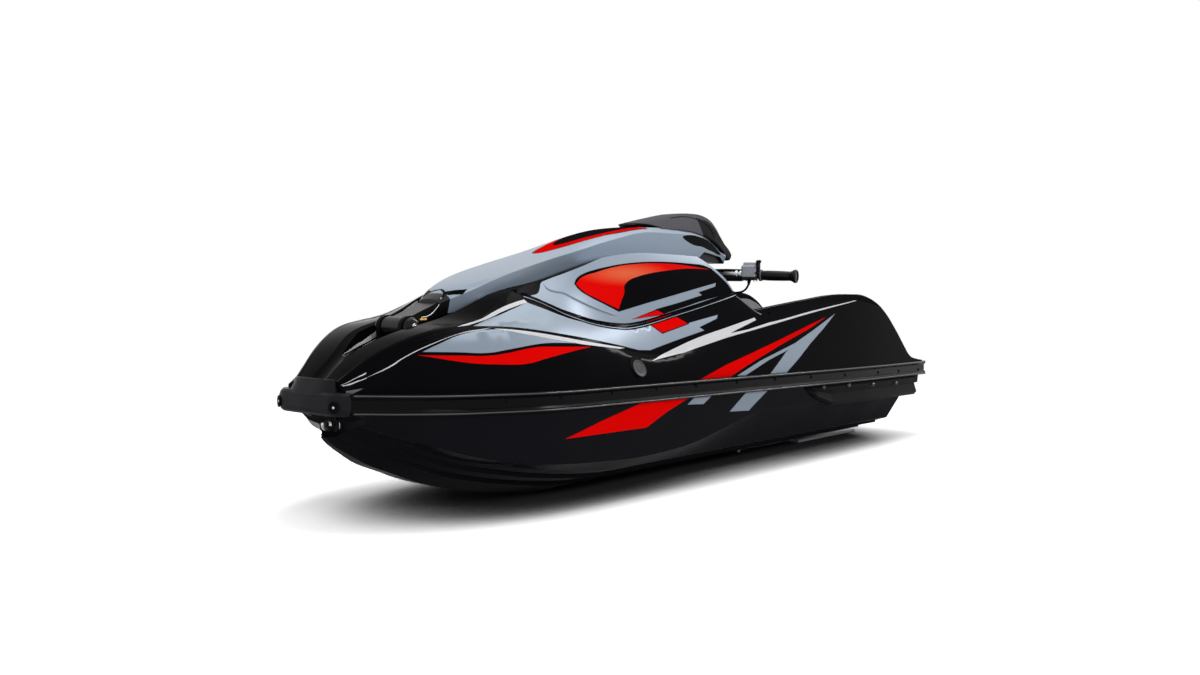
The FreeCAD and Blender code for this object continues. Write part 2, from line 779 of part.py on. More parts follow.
def disc(body, role, across, up, radius, offset=None):
    """Circle on an origin plane, its centre and radius held by formulas."""
    sketch = new_sketch(body, role, offset)
    centre = Vector(worked(across), worked(up), 0)
    sketch.addGeometry(Part.Circle(centre, Vector(0, 0, 1), worked(radius)))
    at = sketch.addConstraint(Sketcher.Constraint("Radius", 0, worked(radius)))
    sketch.setExpression("Constraints[%d]" % at, radius)
    fix_point(sketch, 0, 3, across, up)
    return sketch


def revolved(body, points):
    """Solid of revolution about the body's X axis."""
    sketch = outline(body, "XZ_Plane", points)
    feature = body.newObject("PartDesign::Revolution", body.Name + "_turned")
    feature.Profile = sketch
    feature.ReferenceAxis = (sketch, ["H_Axis"])
    feature.Angle = 360
    return feature


def padded(body, sketch, length, middle=False):
    feature = body.newObject("PartDesign::Pad", body.Name + "_pad")
    feature.Profile = sketch
    feature.Midplane = middle
    feature.setExpression("Length", length)
    return feature


def drilled(body, sketch):
    """Hole through the whole body, both ways from its sketch."""
    doc.recompute()
    feature = body.newObject("PartDesign::Pocket", body.Name + "_hole")
    feature.Profile = sketch
    feature.Type = "ThroughAll"
    feature.Midplane = True
    return feature


def repeated(body, features, count):
    """Copies features evenly round the body's X axis."""
    feature = body.newObject("PartDesign::PolarPattern", body.Name + "_ring")
    feature.Originals = features
    feature.Axis = (origin_part(body, "X_Axis"), [""])
    feature.Angle = 360
    feature.setExpression("Occurrences", count)
    body.Tip = feature
    return feature


def reflected(body, features):
    """Copies features across the centre plane."""
    feature = body.newObject("PartDesign::Mirrored", body.Name + "_mirror")
    feature.Originals = features
    feature.MirrorPlane = (origin_part(body, "XZ_Plane"), [""])
    body.Tip = feature
    return feature


# Rubber round the bonded edge


def rail_section(x):
    outer = line("rail_half", x)
    inner = outer - size("RailDepth")
    middle = rail_height(x)
    half = size("RailHalfHeight")
    lip = size("RailLip")
    web = outer - size("RailGroove")
    slope = lip + size("RailGroove")
    return polygon(((x, inner, middle - half), (x, outer, middle - half), (x, outer, middle - half + lip),
                    (x, web, middle - half + slope), (x, web, middle + half - slope),
                    (x, outer, middle + half - lip), (x, outer, middle + half), (x, inner, middle + half)))


def make_rub_rails():
    places = stations(size("RailStart"), size("SternEnd"), RAIL_SECTIONS, BOW_CROWD)
    rail = loft([rail_section(x) for x in places])
    shift = Vector(size("Touch"), size("Touch"), 0)
    port = rail.cut([form.translated(shift) for form in (hull_shape, deck_shape)])
    put("rub_rail_port", port)
    put("rub_rail_starboard", mirrored(port))


BUMPER_NOSE = ((1304, 130), (1318, 117), (1325.5, 78))
BEAK_FOOT = ((1308, 88), (1318, 76), (1325, 46))
BUMPER_PROFILE = ((0.0, 9.0), (0.1, 3.5), (0.3, 0.0), (0.7, 0.0), (0.9, 3.5), (1.0, 9.0))


def nose_outline(points, z, inset=0.0):
    """Plan outline of the bumper at height z, drawn in by inset; it closes with a straight line at its rear."""
    rear = points[0][0]
    reach = points[-1][0] - rear
    port = [Vector(rear + (x - rear) * (1 - inset / reach), y * (1 - inset / points[0][1]), z) for x, y in points]
    curve = Part.BSplineCurve()
    curve.interpolate(port + [Vector(p.x, -p.y, z) for p in port[-2::-1]])
    return Part.Wire([curve.toShape(), Part.makeLine(Vector(rear, -port[0].y, z), port[0])])


def make_bow_bumper():
    start = size("RailStart") + size("Touch")
    half = size("RailHalfHeight") + size("BumperLip")
    low = rail_height(size("NoseFace")) - half
    tip = (size("BowTip"), 0)
    plan = [(start, line("rail_half", start))] + list(BUMPER_NOSE) + [tip]
    scale = size("BumperRound") / BUMPER_PROFILE[0][1]
    block = loft([nose_outline(plan, low + 2 * half * share, inset * scale) for share, inset in BUMPER_PROFILE],
                 True)
    foot = [(start, BEAK_FOOT[0][1])] + list(BEAK_FOOT) + [(tip[0] - 2, 0)]
    lean = (size("BeakFront") - start) / (tip[0] - 2 - start)
    crest = [(start + (x - start) * lean, y * size("BeakHalf") / foot[0][1]) for x, y in foot]
    beak = loft([nose_outline(foot, low + 2 * half - size("BumperRound")), nose_outline(crest, size("BeakHeight"))])
    return block.fuse(beak).cut([hull_shape, deck_shape])


make_rub_rails()
put("bow_bumper", make_bow_bumper())

# Tray mats

floor_half = "(Sizes.TrayFloorHalf - Sizes.MatInset)"
solid_box("foot_mat", ("Sizes.SternEnd + Sizes.MatInset", "0 - " + floor_half, "Sizes.TrayFloor"),
          ("Sizes.TrayFront - Sizes.SternEnd - 2 * Sizes.MatInset", "2 * " + floor_half, "Sizes.MatThickness"))


def make_side_mat():
    """Mat on the inner wall of the port gunwale, trimmed below its top edge."""
    base = size("TrayFloor") + size("MatThickness") + size("MatInset") / 3
    top = size("TrayTop") + size("MatInset")
    thick = size("SideMatThickness")
    rear = size("SideMatRear")
    edges = ((base, 0), (top, 0), (top, thick), (base, thick))
    strip = Part.Face(polygon([(rear, tray_wall(z) - off, z) for z, off in edges]))
    strip = strip.extrude(Vector(size("TrayFront") - size("MatInset") - rear, 0, 0))
    return strip.cut(cut_above(gunwale_profile(size("GunwaleRound") + size("MatDrop"))))


on_both_sides("gunwale_mat", make_side_mat())

# Sponsons on the hull sides


def make_sponson():
    front = size("SponsonFront")
    length = front - size("SponsonRear")
    deep = size("SponsonDepth")
    tall = size("SponsonHeight")
    wires = []
    for place, share in SPONSON_TAPER:
        x = front - length * place
        top = rail_height(x) - size("RailHalfHeight") - size("SponsonDrop")
        low = top - tall * share
        out = line("rail_half", x) - deep / 4
        back = out - 2 * deep
        waist = out - deep * WAIST_DEPTH
        wires.append(polygon(((x, back, top), (x, out - deep / 3, top),
                              (x, out - size("SponsonLip"), top - tall * share / 6),
                              (x, waist, top - tall * share * WAIST_HEIGHT), (x, out, low + tall * share / 6),
                              (x, waist, low), (x, back, low + tall * share / 12))))
    return loft(wires, True).cut(hull_shape)


on_both_sides("sponson", make_sponson())

# Tow eyes, drain plugs, exhaust and outlet caps


def tow_lug(root, hole, y, z):
    """Drilled lug that runs along X from its root to the centre of its hole."""
    half = size("EyeThickness") / 2
    tall = size("EyeHalfHeight")
    bar = slab(min(root, hole), max(root, hole), y - half, y + half, z - tall, z + tall)
    bore = tube_y(size("EyeHole"), y - 2 * half, y + 2 * half, hole, z)
    return bar.fuse(tube_y(tall, y - half, y + half, hole, z)).cut(bore)


def make_bow_eye():
    """Eye that stands forward from the rear wall of the notch in the stem."""
    root = size("NotchX") - 1.5 * size("NotchRadius")
    return tow_lug(root, size("NotchX") - size("BowEyeSetback"), 0, size("NotchZ")).cut(hull_shape)


def make_stern_eye():
    face = size("Transom") - size("EyePlateThickness")
    y = size("SternEyeY")
    z = size("SternEyeZ")
    half = size("EyePlateHalf")
    tall = size("EyePlateHalfHeight")
    plate = slab(face, size("Transom"), y - half, y + half, z - tall, z + tall)
    return plate.fuse(tow_lug(face + 2 * OVER, size("Transom") - size("SternEyeReach"), y, z))


put("bow_eye", make_bow_eye())
put("stern_eye", make_stern_eye())

plug_parts = []
for side, sign in (("port", ""), ("starboard", "0 - ")):
    y = sign + "Sizes.PlugY"
    plug_parts.append(solid_rod("plug_flange_" + side, "X", "Sizes.PlugRadius",
                                ("Sizes.Transom - Sizes.PlugFlange", y, "Sizes.PlugZ"), "Sizes.PlugFlange"))
    plug_parts.append(solid_rod("plug_knob_" + side, "X", "Sizes.PlugKnob",
                                ("Sizes.Transom - Sizes.PlugLength", y, "Sizes.PlugZ"), "Sizes.PlugLength"))
joined("drain_plugs", plug_parts)

exhaust = new_body("exhaust_outlet", "Sizes.Transom", "Sizes.ExhaustY", "Sizes.ExhaustZ")
revolved(exhaust, [("0", "0"), ("0", "Sizes.ExhaustFlange"),
                   ("0 - Sizes.ExhaustFlangeLength", "Sizes.ExhaustFlange"),
                   ("0 - Sizes.ExhaustFlangeLength", "Sizes.ExhaustRadius"),
                   ("0 - Sizes.ExhaustLength", "Sizes.ExhaustRadius"),
                   ("0 - Sizes.ExhaustLength", "Sizes.ExhaustBore"),
                   ("0 - Sizes.ExhaustFlangeLength / 2", "Sizes.ExhaustBore"),
                   ("0 - Sizes.ExhaustFlangeLength / 2", "0")])


def make_outlet_cap():
    """Round cap on the deck's flank, square to its slope."""
    x = size("OutletX")
    z = size("OutletZ")
    foot = line("rail_half", x) - size("RailDepth")
    low = rail_height(x) + size("RailHalfHeight")
    rise = line("crease_height", x) - low
    lean = foot - line("crease_half", x)
    skin = foot - lean * (z - low) / rise
    way = Vector(0, rise, lean)
    way.normalize()
    stand = size("OutletStand") + BULGES[-1]
    root = Vector(x, skin, z) - way * 3 * stand
    return Part.makeCylinder(size("OutletRadius"), 4 * stand, root, way).cut(deck_shape)


on_both_sides("outlet_cap", make_outlet_cap())

# Engine

solid_box("engine_block", ("Sizes.BayRear + Sizes.EngineClearance", "0 - Sizes.BayHalf + Sizes.EngineClearance",
                           BAY_FLOOR),
          ("Sizes.BayFront - Sizes.BayRear - 2 * Sizes.EngineClearance",
           "2 * Sizes.BayHalf - 2 * Sizes.EngineClearance",
           "Sizes.BayTop - Sizes.EngineClearance - " + BAY_FLOOR))

# Pole bracket and pin in the valley

cheek_inner = "(Sizes.BossHalf + Sizes.CheekGap)"
cheek_outer = "(Sizes.BossHalf + Sizes.CheekGap + Sizes.CheekThickness)"
rise = "(Sizes.PivotZ - Sizes.ValleyFloor)"
bracket = new_body("pole_bracket", "Sizes.PivotX", "0", "Sizes.ValleyFloor")
tail = "0 - Sizes.CheekHalfWidth - Sizes.BracketTail"
base = outline(bracket, "XY_Plane", [(tail, "0 - " + cheek_outer), ("Sizes.CheekHalfWidth", "0 - " + cheek_outer),
                                     ("Sizes.CheekHalfWidth", cheek_outer), (tail, cheek_outer)])
padded(bracket, base, "Sizes.BracketBase")
cheek = outline(bracket, "XZ_Plane", [(tail, "0"), ("Sizes.CheekHalfWidth", "0"), ("Sizes.CheekHalfWidth", rise),
                                      ("0 - Sizes.CheekHalfWidth", rise)], "0 - " + cheek_outer)
cheek_pad = padded(bracket, cheek, "Sizes.CheekThickness")
crest = disc(bracket, "XZ_Plane", "0", rise, "Sizes.CheekHalfWidth", "0 - " + cheek_outer)
crest_pad = padded(bracket, crest, "Sizes.CheekThickness")
reflected(bracket, [cheek_pad, crest_pad])
drilled(bracket, disc(bracket, "XZ_Plane", "0", rise, "Sizes.PinRadius"))

pin = solid_rod("pin_rod", "Y", "Sizes.PinRadius", ("Sizes.PivotX", "0 - " + cheek_outer, "Sizes.PivotZ"),
                "2 * " + cheek_outer)
head_radius = "Sizes.PinRadius + Sizes.PinHead"
head_port = solid_rod("pin_head_port", "Y", head_radius, ("Sizes.PivotX", cheek_outer, "Sizes.PivotZ"),
                      "Sizes.PinHeadLength")
head_starboard = solid_rod("pin_head_starboard", "Y", head_radius,
                           ("Sizes.PivotX", "0 - Sizes.PinHeadLength - " + cheek_outer, "Sizes.PivotZ"),
                           "Sizes.PinHeadLength")
joined("pivot_pin", [pin, head_port, head_starboard])

# Handle pole with its side inserts


def steering_axis():
    rake = math.radians(size("SteerRake"))
    return Vector(math.sin(rake), 0, math.cos(rake))


def steering_rod(radius, low, high):
    """Rod on the steering axis, between two distances above the bar's centre."""
    axis = steering_axis()
    return Part.makeCylinder(radius, high - low, Vector(size("SteerX"), 0, size("SteerZ")) + axis * low, axis)


POLE_WIDEST = max(half for x, half in LINES["pole_half"])


def make_pole():
    nose = size("PoleNose")
    body = loft([pole_section(x) for x in stations(nose, size("PoleTail"), POLE_SECTIONS, 1.2)])
    x = size("PivotX")
    z = size("PivotZ")
    half = size("BossHalf")
    root = nose - size("TongueRoot")
    reach = TONGUE_SHARE * size("PivotBoss")
    tongue = side_prism(((x, z - reach), (x, z + reach), (root, line("pole_crease", root) - size("TongueInset")),
                         (root, line("pole_floor", root) + size("TongueInset"))), -half, half)
    pin_bore = tube_y(size("PinRadius") + size("PinClearance"), -half - OVER, half + OVER, x, z)
    body = body.fuse([tube_y(size("PivotBoss"), -half, half, x, z), tongue]).cut(pin_bore)
    body = body.fuse(steering_rod(size("HeadRadius"), size("HeadFoot"), size("HeadTop")))
    post_end = size("PostFoot") + size("PostLength") + 2 * OVER
    post_bore = steering_rod(size("PostRadius") + size("PostClearance"), 0, post_end)
    cavity = side_prism(CAVITY, POLE_WIDEST - size("CavityDepth"), POLE_WIDEST + 10 * OVER)
    return body.cut([post_bore, cavity, mirrored(cavity)])


def insert_prism():
    """Drop-shaped space in the port side of the pole that its dark insert fills."""
    curve = Part.BSplineCurve()
    curve.interpolate([Vector(x, POLE_WIDEST - size("InsertDepth"), z) for x, z in INSERT], True)
    return Part.Face(Part.Wire([curve.toShape()])).extrude(Vector(0, size("InsertDepth") + 10 * OVER, 0))


whole_pole = make_pole()
insert = insert_prism()
pole_shape = whole_pole.cut([insert, mirrored(insert)])
put("handle_pole", pole_shape)
on_both_sides("pole_insert", whole_pole.common(insert))

# Chin pad on the tail of the pole


def pad_section(x):
    half = line("pad_half", x)
    top = line("pad_top", x)
    base = line("pole_top", x) - size("PadSink") if x >= size("PoleTail") else size("PadUnderside")
    side = max(min(top - size("PadEdge"), line("pole_crease", x) + size("PadOverlap")), base + size("PadLip"))
    rise = size("PadCrown")
    bulge = size("PadEdge") / 2
    a = Vector(x, half, base)
    b = Vector(x, half + rise, side)
    c = Vector(x, half * PAD_SHOULDER, top - rise)
    crown = Part.BezierCurve()
    crown.setPoles([c, Vector(x, 0, top + rise), Vector(x, -c.y, c.z)])
    d, e, f = (Vector(x, -p.y, p.z) for p in (c, b, a))
    return Part.Wire([bowed(a, b, 0.0), bowed(b, c, bulge), crown.toBSpline().toShape(), bowed(d, e, bulge),
                      bowed(e, f, 0.0), Part.makeLine(f, a)])


def make_chin_pad():
    pad = loft([pad_section(x) for x in stations(size("PadFront"), size("PadTail"), PAD_SECTIONS, 1.0)])
    return pad.cut(whole_pole)


put("chin_pad", make_chin_pad())

# Handlebar, controls and grips


def bar_points():
    x = size("SteerX")
    z = size("SteerZ")
    return [Vector(x, 0, z), Vector(x, size("BarKink"), z),
            Vector(x - size("BarSweep"), size("BarHalf"), z - size("BarDrop"))]


def bar_direction():
    points = bar_points()
    way = points[2] - points[1]
    way.normalize()
    return points[1], way


def make_handlebar():
    kink, end = bar_points()[1:]
    port = [(end.x, end.y, end.z), (kink.x, kink.y, kink.z)]
    starboard = [(x, -y, z) for x, y, z in reversed(port)]
    return bent_rod(port + starboard, size("BarRadius"), size("BarBend"))


def on_bar(radius, start, length):
    """Collar round the port arm of the bar, start measured from its kink."""
    kink, way = bar_direction()
    return Part.makeCylinder(radius, length, kink + way * start, way)


bar_shape = make_handlebar()
clamp = Part.makeBox(size("ClampLength"), size("ClampWidth"), size("ClampHeight"),
                     Vector(size("SteerX") - size("ClampLength") / 2, -size("ClampWidth") / 2,
                            size("SteerZ") - size("ClampHeight") * CLAMP_LOW))
clamp = clamp.makeChamfer(size("ClampHeight") / 6, clamp.Edges)
post = steering_rod(size("PostRadius"), size("PostFoot"), size("PostFoot") + size("PostLength"))
put("handlebar", bar_shape)
put("bar_clamp", clamp.cut(bar_shape))
put("steering_post", post.cut([bar_shape, clamp]))
arm_length = (bar_points()[2] - bar_points()[1]).Length
grip_start = arm_length - size("GripLength")


def make_grip():
    tube = on_bar(size("GripRadius"), grip_start, size("GripLength"))
    flare = on_bar(size("GripFlange"), arm_length - OVER, size("GripDisc"))
    collar = on_bar(size("GripFlange") - 2 * OVER, grip_start, size("GripCollar"))
    return tube.fuse([flare, collar]).cut(bar_shape)


grip_shape = make_grip()
on_both_sides("grip", grip_shape)


def along_bar(shape, start):
    """Turns a shape modelled along Y to the port arm of the bar and moves it to its place there."""
    kink, way = bar_direction()
    placed = shape.copy()
    placed.rotate(Vector(), Vector(0, 0, 1), math.degrees(math.atan2(-way.x, way.y)))
    placed.translate(kink + way * start)
    return placed


def control_housing(tall):
    deep = size("SwitchDepth")
    long = size("SwitchLength")
    block = Part.makeBox(deep, long, tall, Vector(-deep * HOUSING_REAR, 0, -size("GripRadius") - 2 * OVER))
    block = block.makeChamfer(size("HousingChamfer"), block.Edges)
    return along_bar(block, grip_start - long - size("HousingGap")).cut(bar_shape)


put("switch_housing", control_housing(size("SwitchHeight")))
put("throttle_housing", mirrored(control_housing(size("ThrottleHeight"))))


def make_lever():
    """Thumb lever, made for the port arm."""
    wide = size("LeverWidth")
    reach = size("LeverReach")
    thick = size("LeverThickness")
    blade = Part.makeBox(thick, size("LeverLength"), wide, Vector(reach, 0, -wide / 2))
    blade = blade.fuse(Part.makeBox(reach, thick + OVER, wide, Vector(thick / 2, -thick / 2, -wide / 2)))
    blade = along_bar(blade, grip_start - thick / 2)
    play = size("CollarPlay")
    collar = on_bar(size("GripRadius") + 3 * OVER, grip_start - size("HousingGap") + play,
                    size("HousingGap") - 2 * play)
    return collar.fuse(blade).cut([bar_shape, grip_shape])


put("throttle_lever", mirrored(make_lever()))


cable = bent_rod(CABLE, size("CableRadius"), size("CableBend"))
put("switch_cable", cable)
put("throttle_cable", mirrored(cable))

# Jet pump: housing, stator, impeller, shaft and steering nozzle

wall = "(Sizes.PumpBore + Sizes.PumpWall)"
flange = "(Sizes.PumpBore + Sizes.PumpWall + Sizes.PumpFlange)"
mouth = "(Sizes.PumpMouth + Sizes.PumpMouthWall)"
cone_start = "(Sizes.PumpFront - Sizes.PumpConeStart)"
cone_end = "(Sizes.PumpFront - Sizes.PumpConeEnd)"
pump = new_body("pump_housing", "0", "0", "Sizes.PumpHeight")
revolved(pump, [("Sizes.PumpFront", "Sizes.PumpBore"), ("Sizes.PumpFront", flange),
                ("Sizes.PumpFront - Sizes.PumpFlangeLength", flange),
                ("Sizes.PumpFront - Sizes.PumpFlangeLength", wall), (cone_start, wall), (cone_end, mouth),
                (PUMP_REAR, mouth), (PUMP_REAR, "Sizes.PumpMouth"), (cone_end, "Sizes.PumpMouth"),
                (cone_start, "Sizes.PumpBore")])
arm_end = NOZZLE_X + " - Sizes.ArmHalf"
arm_root = cone_start + " + 5"
arm = padded(pump, outline(pump, "XZ_Plane", [(arm_end, "Sizes.ArmFoot"), (arm_root, "Sizes.ArmFoot"),
                                              (arm_root, "Sizes.ArmTop"), (arm_end, "Sizes.ArmTop")]),
             "2 * Sizes.ArmHalf", True)
stub = padded(pump, disc(pump, "XY_Plane", NOZZLE_X, "0", "Sizes.NozzlePin", "Sizes.NozzleBossFoot + 3"),
              "Sizes.ArmTop - Sizes.NozzleBossFoot - 3")
repeated(pump, [arm, stub], "2")

stator = new_body("stator", STATOR_X, "0", "Sizes.PumpHeight")
hub_end = "0 - Sizes.StatorLength"
tip_end = "0 - Sizes.StatorLength - Sizes.StatorTaper"
bore = "Sizes.ShaftRadius + Sizes.BearingClearance"
bore_end = "0 - Sizes.ShaftTail - Sizes.ShaftStub"
revolved(stator, [("0", bore), ("0", "Sizes.StatorHub"), (hub_end, "Sizes.StatorHub"), (tip_end, "Sizes.StatorTip"),
                  (tip_end, "0"), (bore_end, "0"), (bore_end, bore)])
vane_front = "0 - Sizes.VaneStart"
vane_rear = "0 - Sizes.VaneStart - Sizes.VaneLength"
vane = padded(stator, outline(stator, "XY_Plane", [(vane_front, "0 - Sizes.VaneThickness / 2"),
                                                   (vane_front, "Sizes.VaneThickness / 2"),
                                                   (vane_rear, "Sizes.VaneThickness / 2"),
                                                   (vane_rear, "0 - Sizes.VaneThickness / 2")]),
              "Sizes.PumpBore - Sizes.VaneClearance")
repeated(stator, [vane], "Sizes.VaneCount")

nozzle = new_body("steering_nozzle", NOZZLE_X, "0", "Sizes.PumpHeight")
lip = "Sizes.NozzleLead - Sizes.NozzleLength"
revolved(nozzle, [("Sizes.NozzleLead", "Sizes.NozzleInlet"), ("Sizes.NozzleLead", "Sizes.NozzleInlet + Sizes.NozzleWall"),
                  (lip, "Sizes.NozzleOutlet + Sizes.NozzleWall"), (lip, "Sizes.NozzleOutlet")])
boss = padded(nozzle, disc(nozzle, "XY_Plane", "0", "0", "Sizes.NozzleBoss", "Sizes.NozzleBossFoot"),
              "Sizes.NozzleBossTop - Sizes.NozzleBossFoot")
repeated(nozzle, [boss], "2")
drilled(nozzle, disc(nozzle, "XY_Plane", "0", "0", "Sizes.NozzlePin + Sizes.NozzlePinClearance"))


def make_impeller():
    """Hub on the shaft with twisted blades, each lofted between turned sections."""
    x = worked(IMPELLER_X)
    z = size("PumpHeight")
    half = size("ImpellerLength") / 2
    root = size("ImpellerNose") - 2
    nose = x + half + size("ImpellerNose")
    face = Part.Face(polygon([(nose, 0, z), (nose, 0, z + root), (x + half, 0, z + size("ImpellerHub") - 4),
                              (x - half, 0, z + size("ImpellerHub")), (x - half, 0, z)]))
    hub = face.revolve(Vector(0, 0, z), Vector(1, 0, 0), 360)
    count = int(size("BladeCount"))
    steps = BLADE_STEPS
    blades = []
    for k in range(count):
        wires = []
        for step in range(steps + 1):
            at = x + (half - 4) * (1 - 2 * step / steps)
            turn = math.radians(360 * k / count + size("BladeTwist") * step / steps)
            points = []
            for r, side in ((root, -1), (size("ImpellerRadius"), -1), (size("ImpellerRadius"), 1), (root, 1)):
                a = turn + side * size("BladeThickness") / 2 / r
                points.append((at, r * math.sin(a), z + r * math.cos(a)))
            wires.append(polygon(points))
        blades.append(loft(wires, True))
    return hub.fuse(blades).cut(tube_x(size("ShaftRadius"), x - 2 * half, x + 4 * half, z))


put("impeller", make_impeller())
solid_rod("drive_shaft", "X", "Sizes.ShaftRadius", (SHAFT_END, "0", "Sizes.PumpHeight"),
          "Sizes.BayRear + Sizes.ShaftStub - " + SHAFT_END)

# Shaft seal and bearing, seated in the hole of the bulkhead behind the engine
bearing = new_body("shaft_bearing", "Sizes.BayRear", "0", "Sizes.PumpHeight")
sleeve = "Sizes.ShaftRadius + Sizes.BearingWall"
revolved(bearing, [("0 - Sizes.BearingLength", bore), ("0 - Sizes.BearingLength", sleeve), ("0", sleeve),
                   ("0", "Sizes.BearingFlange"), ("Sizes.BearingFlangeLength", "Sizes.BearingFlange"),
                   ("Sizes.BearingFlangeLength", bore)])

# Intake grate and ride plate under the hull

grate_half = "(Sizes.IntakeHalf - Sizes.Touch)"
grate_rear = "(Sizes.RidePlateFront + Sizes.Touch)"
grate_front = "(Sizes.IntakeFront - Sizes.Touch)"
grate = [solid_box("grate_end_rear", (grate_rear, "0 - " + grate_half, "Sizes.GrateRise"),
                   ("Sizes.GrateEnd", "2 * " + grate_half, "Sizes.GrateEndHeight")),
         solid_box("grate_end_front", (grate_front + " - Sizes.GrateEnd", "0 - " + grate_half, "Sizes.GrateRise"),
                   ("Sizes.GrateEnd", "2 * " + grate_half, "Sizes.GrateEndHeight"))]
for k in range(int(size("GrateBars"))):
    y = grate_half + " * (%d - Sizes.GrateBars) / Sizes.GrateBars" % (2 * k + 1)
    grate.append(solid_rod("grate_bar_%d" % k, "X", "Sizes.GrateBarRadius",
                           (grate_rear + " + 2", y, "Sizes.GrateRise + Sizes.GrateEndHeight / 2"),
                           grate_front + " - " + grate_rear + " - 4"))
joined("intake_grate", grate)

plate = solid_box("plate_blank", ("Sizes.RidePlateRear", "0 - Sizes.RidePlateHalf", "0"),
                  ("Sizes.RidePlateFront - Sizes.RidePlateRear", "2 * Sizes.RidePlateHalf",
                   "Sizes.RidePlateThickness"))
plate_notch = solid_box("plate_notch", ("Sizes.RidePlateRear - 1", "0 - Sizes.RidePlateNotchHalf", "0 - 1"),
                        ("Sizes.RidePlateNotch + 1", "2 * Sizes.RidePlateNotchHalf",
                         "Sizes.RidePlateThickness + 2"))
pierced("ride_plate", plate, plate_notch)

NODES = ["hull", "deck", "engine_hood", "rub_rail_port", "rub_rail_starboard", "bow_bumper", "foot_mat",
         "gunwale_mat_port", "gunwale_mat_starboard", "sponson_port", "sponson_starboard", "bow_eye",
         "stern_eye", "drain_plugs", "exhaust_outlet", "outlet_cap_port", "outlet_cap_starboard",
         "engine_block", "pole_bracket", "pivot_pin", "handle_pole", "pole_insert_port",
         "pole_insert_starboard", "chin_pad", "steering_post", "handlebar", "bar_clamp", "grip_port",
         "grip_starboard", "switch_housing", "throttle_housing", "throttle_lever", "switch_cable",
         "throttle_cable", "pump_housing", "stator", "steering_nozzle", "impeller", "drive_shaft",
         "shaft_bearing", "intake_grate", "ride_plate"]

doc.recompute()
for item in doc.Objects:
    if "Invalid" in item.State or "Error" in item.State:
        raise ValueError("failed object " + item.Label)
os.makedirs("parts", exist_ok=True)
for name in NODES:
    shape = doc.getObject(name).Shape
    if shape.isNull() or not shape.isValid() or not shape.Solids:
        raise ValueError("bad shape " + name)
    shape.exportStep("parts/%s.step" % name)
    box = shape.optimalBoundingBox()
    print("%-22s solids %d faces %3d volume %8.3f l  X %.0f..%.0f Y %.0f..%.0f Z %.1f..%.1f" % (
        name, len(shape.Solids), len(shape.Faces), shape.Volume / 1e6, box.XMin, box.XMax, box.YMin, box.YMax,
        box.ZMin, box.ZMax))
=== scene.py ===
"""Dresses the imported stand-up watercraft: stage, finishes, livery, pads, controls and fasteners."""

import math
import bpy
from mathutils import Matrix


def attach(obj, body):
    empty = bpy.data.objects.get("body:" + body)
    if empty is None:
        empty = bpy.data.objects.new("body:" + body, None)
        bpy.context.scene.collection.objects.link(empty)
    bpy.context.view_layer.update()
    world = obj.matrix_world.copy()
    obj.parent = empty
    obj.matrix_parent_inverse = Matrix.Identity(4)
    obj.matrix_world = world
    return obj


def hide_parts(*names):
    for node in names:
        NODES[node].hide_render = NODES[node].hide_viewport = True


bl_info = {
    "name": "Stand-up watercraft dressing",
    "version": (1, 0, 0),
    "blender": (4, 5, 0),
    "location": "View3D > Sidebar > Watercraft",
    "description": "Finishes, livery and small parts for a stand-up personal watercraft",
    "category": "Object",
}

import bmesh
import bpy
from bpy.props import FloatProperty, FloatVectorProperty, PointerProperty
from mathutils import Matrix, Vector
from mathutils.bvhtree import BVHTree

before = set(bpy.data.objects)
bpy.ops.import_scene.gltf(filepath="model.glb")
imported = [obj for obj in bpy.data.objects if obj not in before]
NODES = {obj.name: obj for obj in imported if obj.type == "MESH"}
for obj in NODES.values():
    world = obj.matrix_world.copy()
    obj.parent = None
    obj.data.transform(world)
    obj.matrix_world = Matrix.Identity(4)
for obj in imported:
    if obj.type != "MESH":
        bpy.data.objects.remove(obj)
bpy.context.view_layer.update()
MM = 0.001
CRAFT = "craft"
POLE = "pole"
BARS = "bars"


# Settings


class StageSettings(bpy.types.PropertyGroup):
    camera_place: FloatVectorProperty(name="Camera", description="Where the camera stands", size=3,
                                      subtype="TRANSLATION", default=(3.057, 2.463, 0.643))
    camera_turn: FloatProperty(name="Turn", description="Angle of the view from the bow to stern line",
                               subtype="ANGLE", default=math.radians(41))
    lens: FloatProperty(name="Lens", description="Focal length in millimetres", default=35.88)
    shift: FloatProperty(name="Shift", description="Vertical shift of the frame", default=-0.0563)
    floor_radius: FloatProperty(name="Floor", description="Radius of the floor", unit="LENGTH", default=30.0)
    floor_clear: FloatProperty(name="Plain floor", description="Radius past which the floor is plain white",
                               unit="LENGTH", default=3.4)
    floor_white: FloatProperty(name="Floor white", description="Colour of the floor as the camera sees it",
                               default=3.0)
    shadow_reach: FloatProperty(name="Shadow reach", description="How far the craft darkens the floor",
                                unit="LENGTH", default=0.5)
    top_light: FloatProperty(name="Top light", description="Power of the overhead panel", default=33.0)
    side_light: FloatProperty(name="Side light", description="Power of the port panel", default=33.0)
    front_light: FloatProperty(name="Front light", description="Power of the bow panel", default=8.0)
    gloss_light: FloatProperty(name="Gloss light", description="Power of the strip that only reflections show",
                               default=120.0)
    room_light: FloatProperty(name="Room light", description="Strength of the room on matt faces", default=0.30)


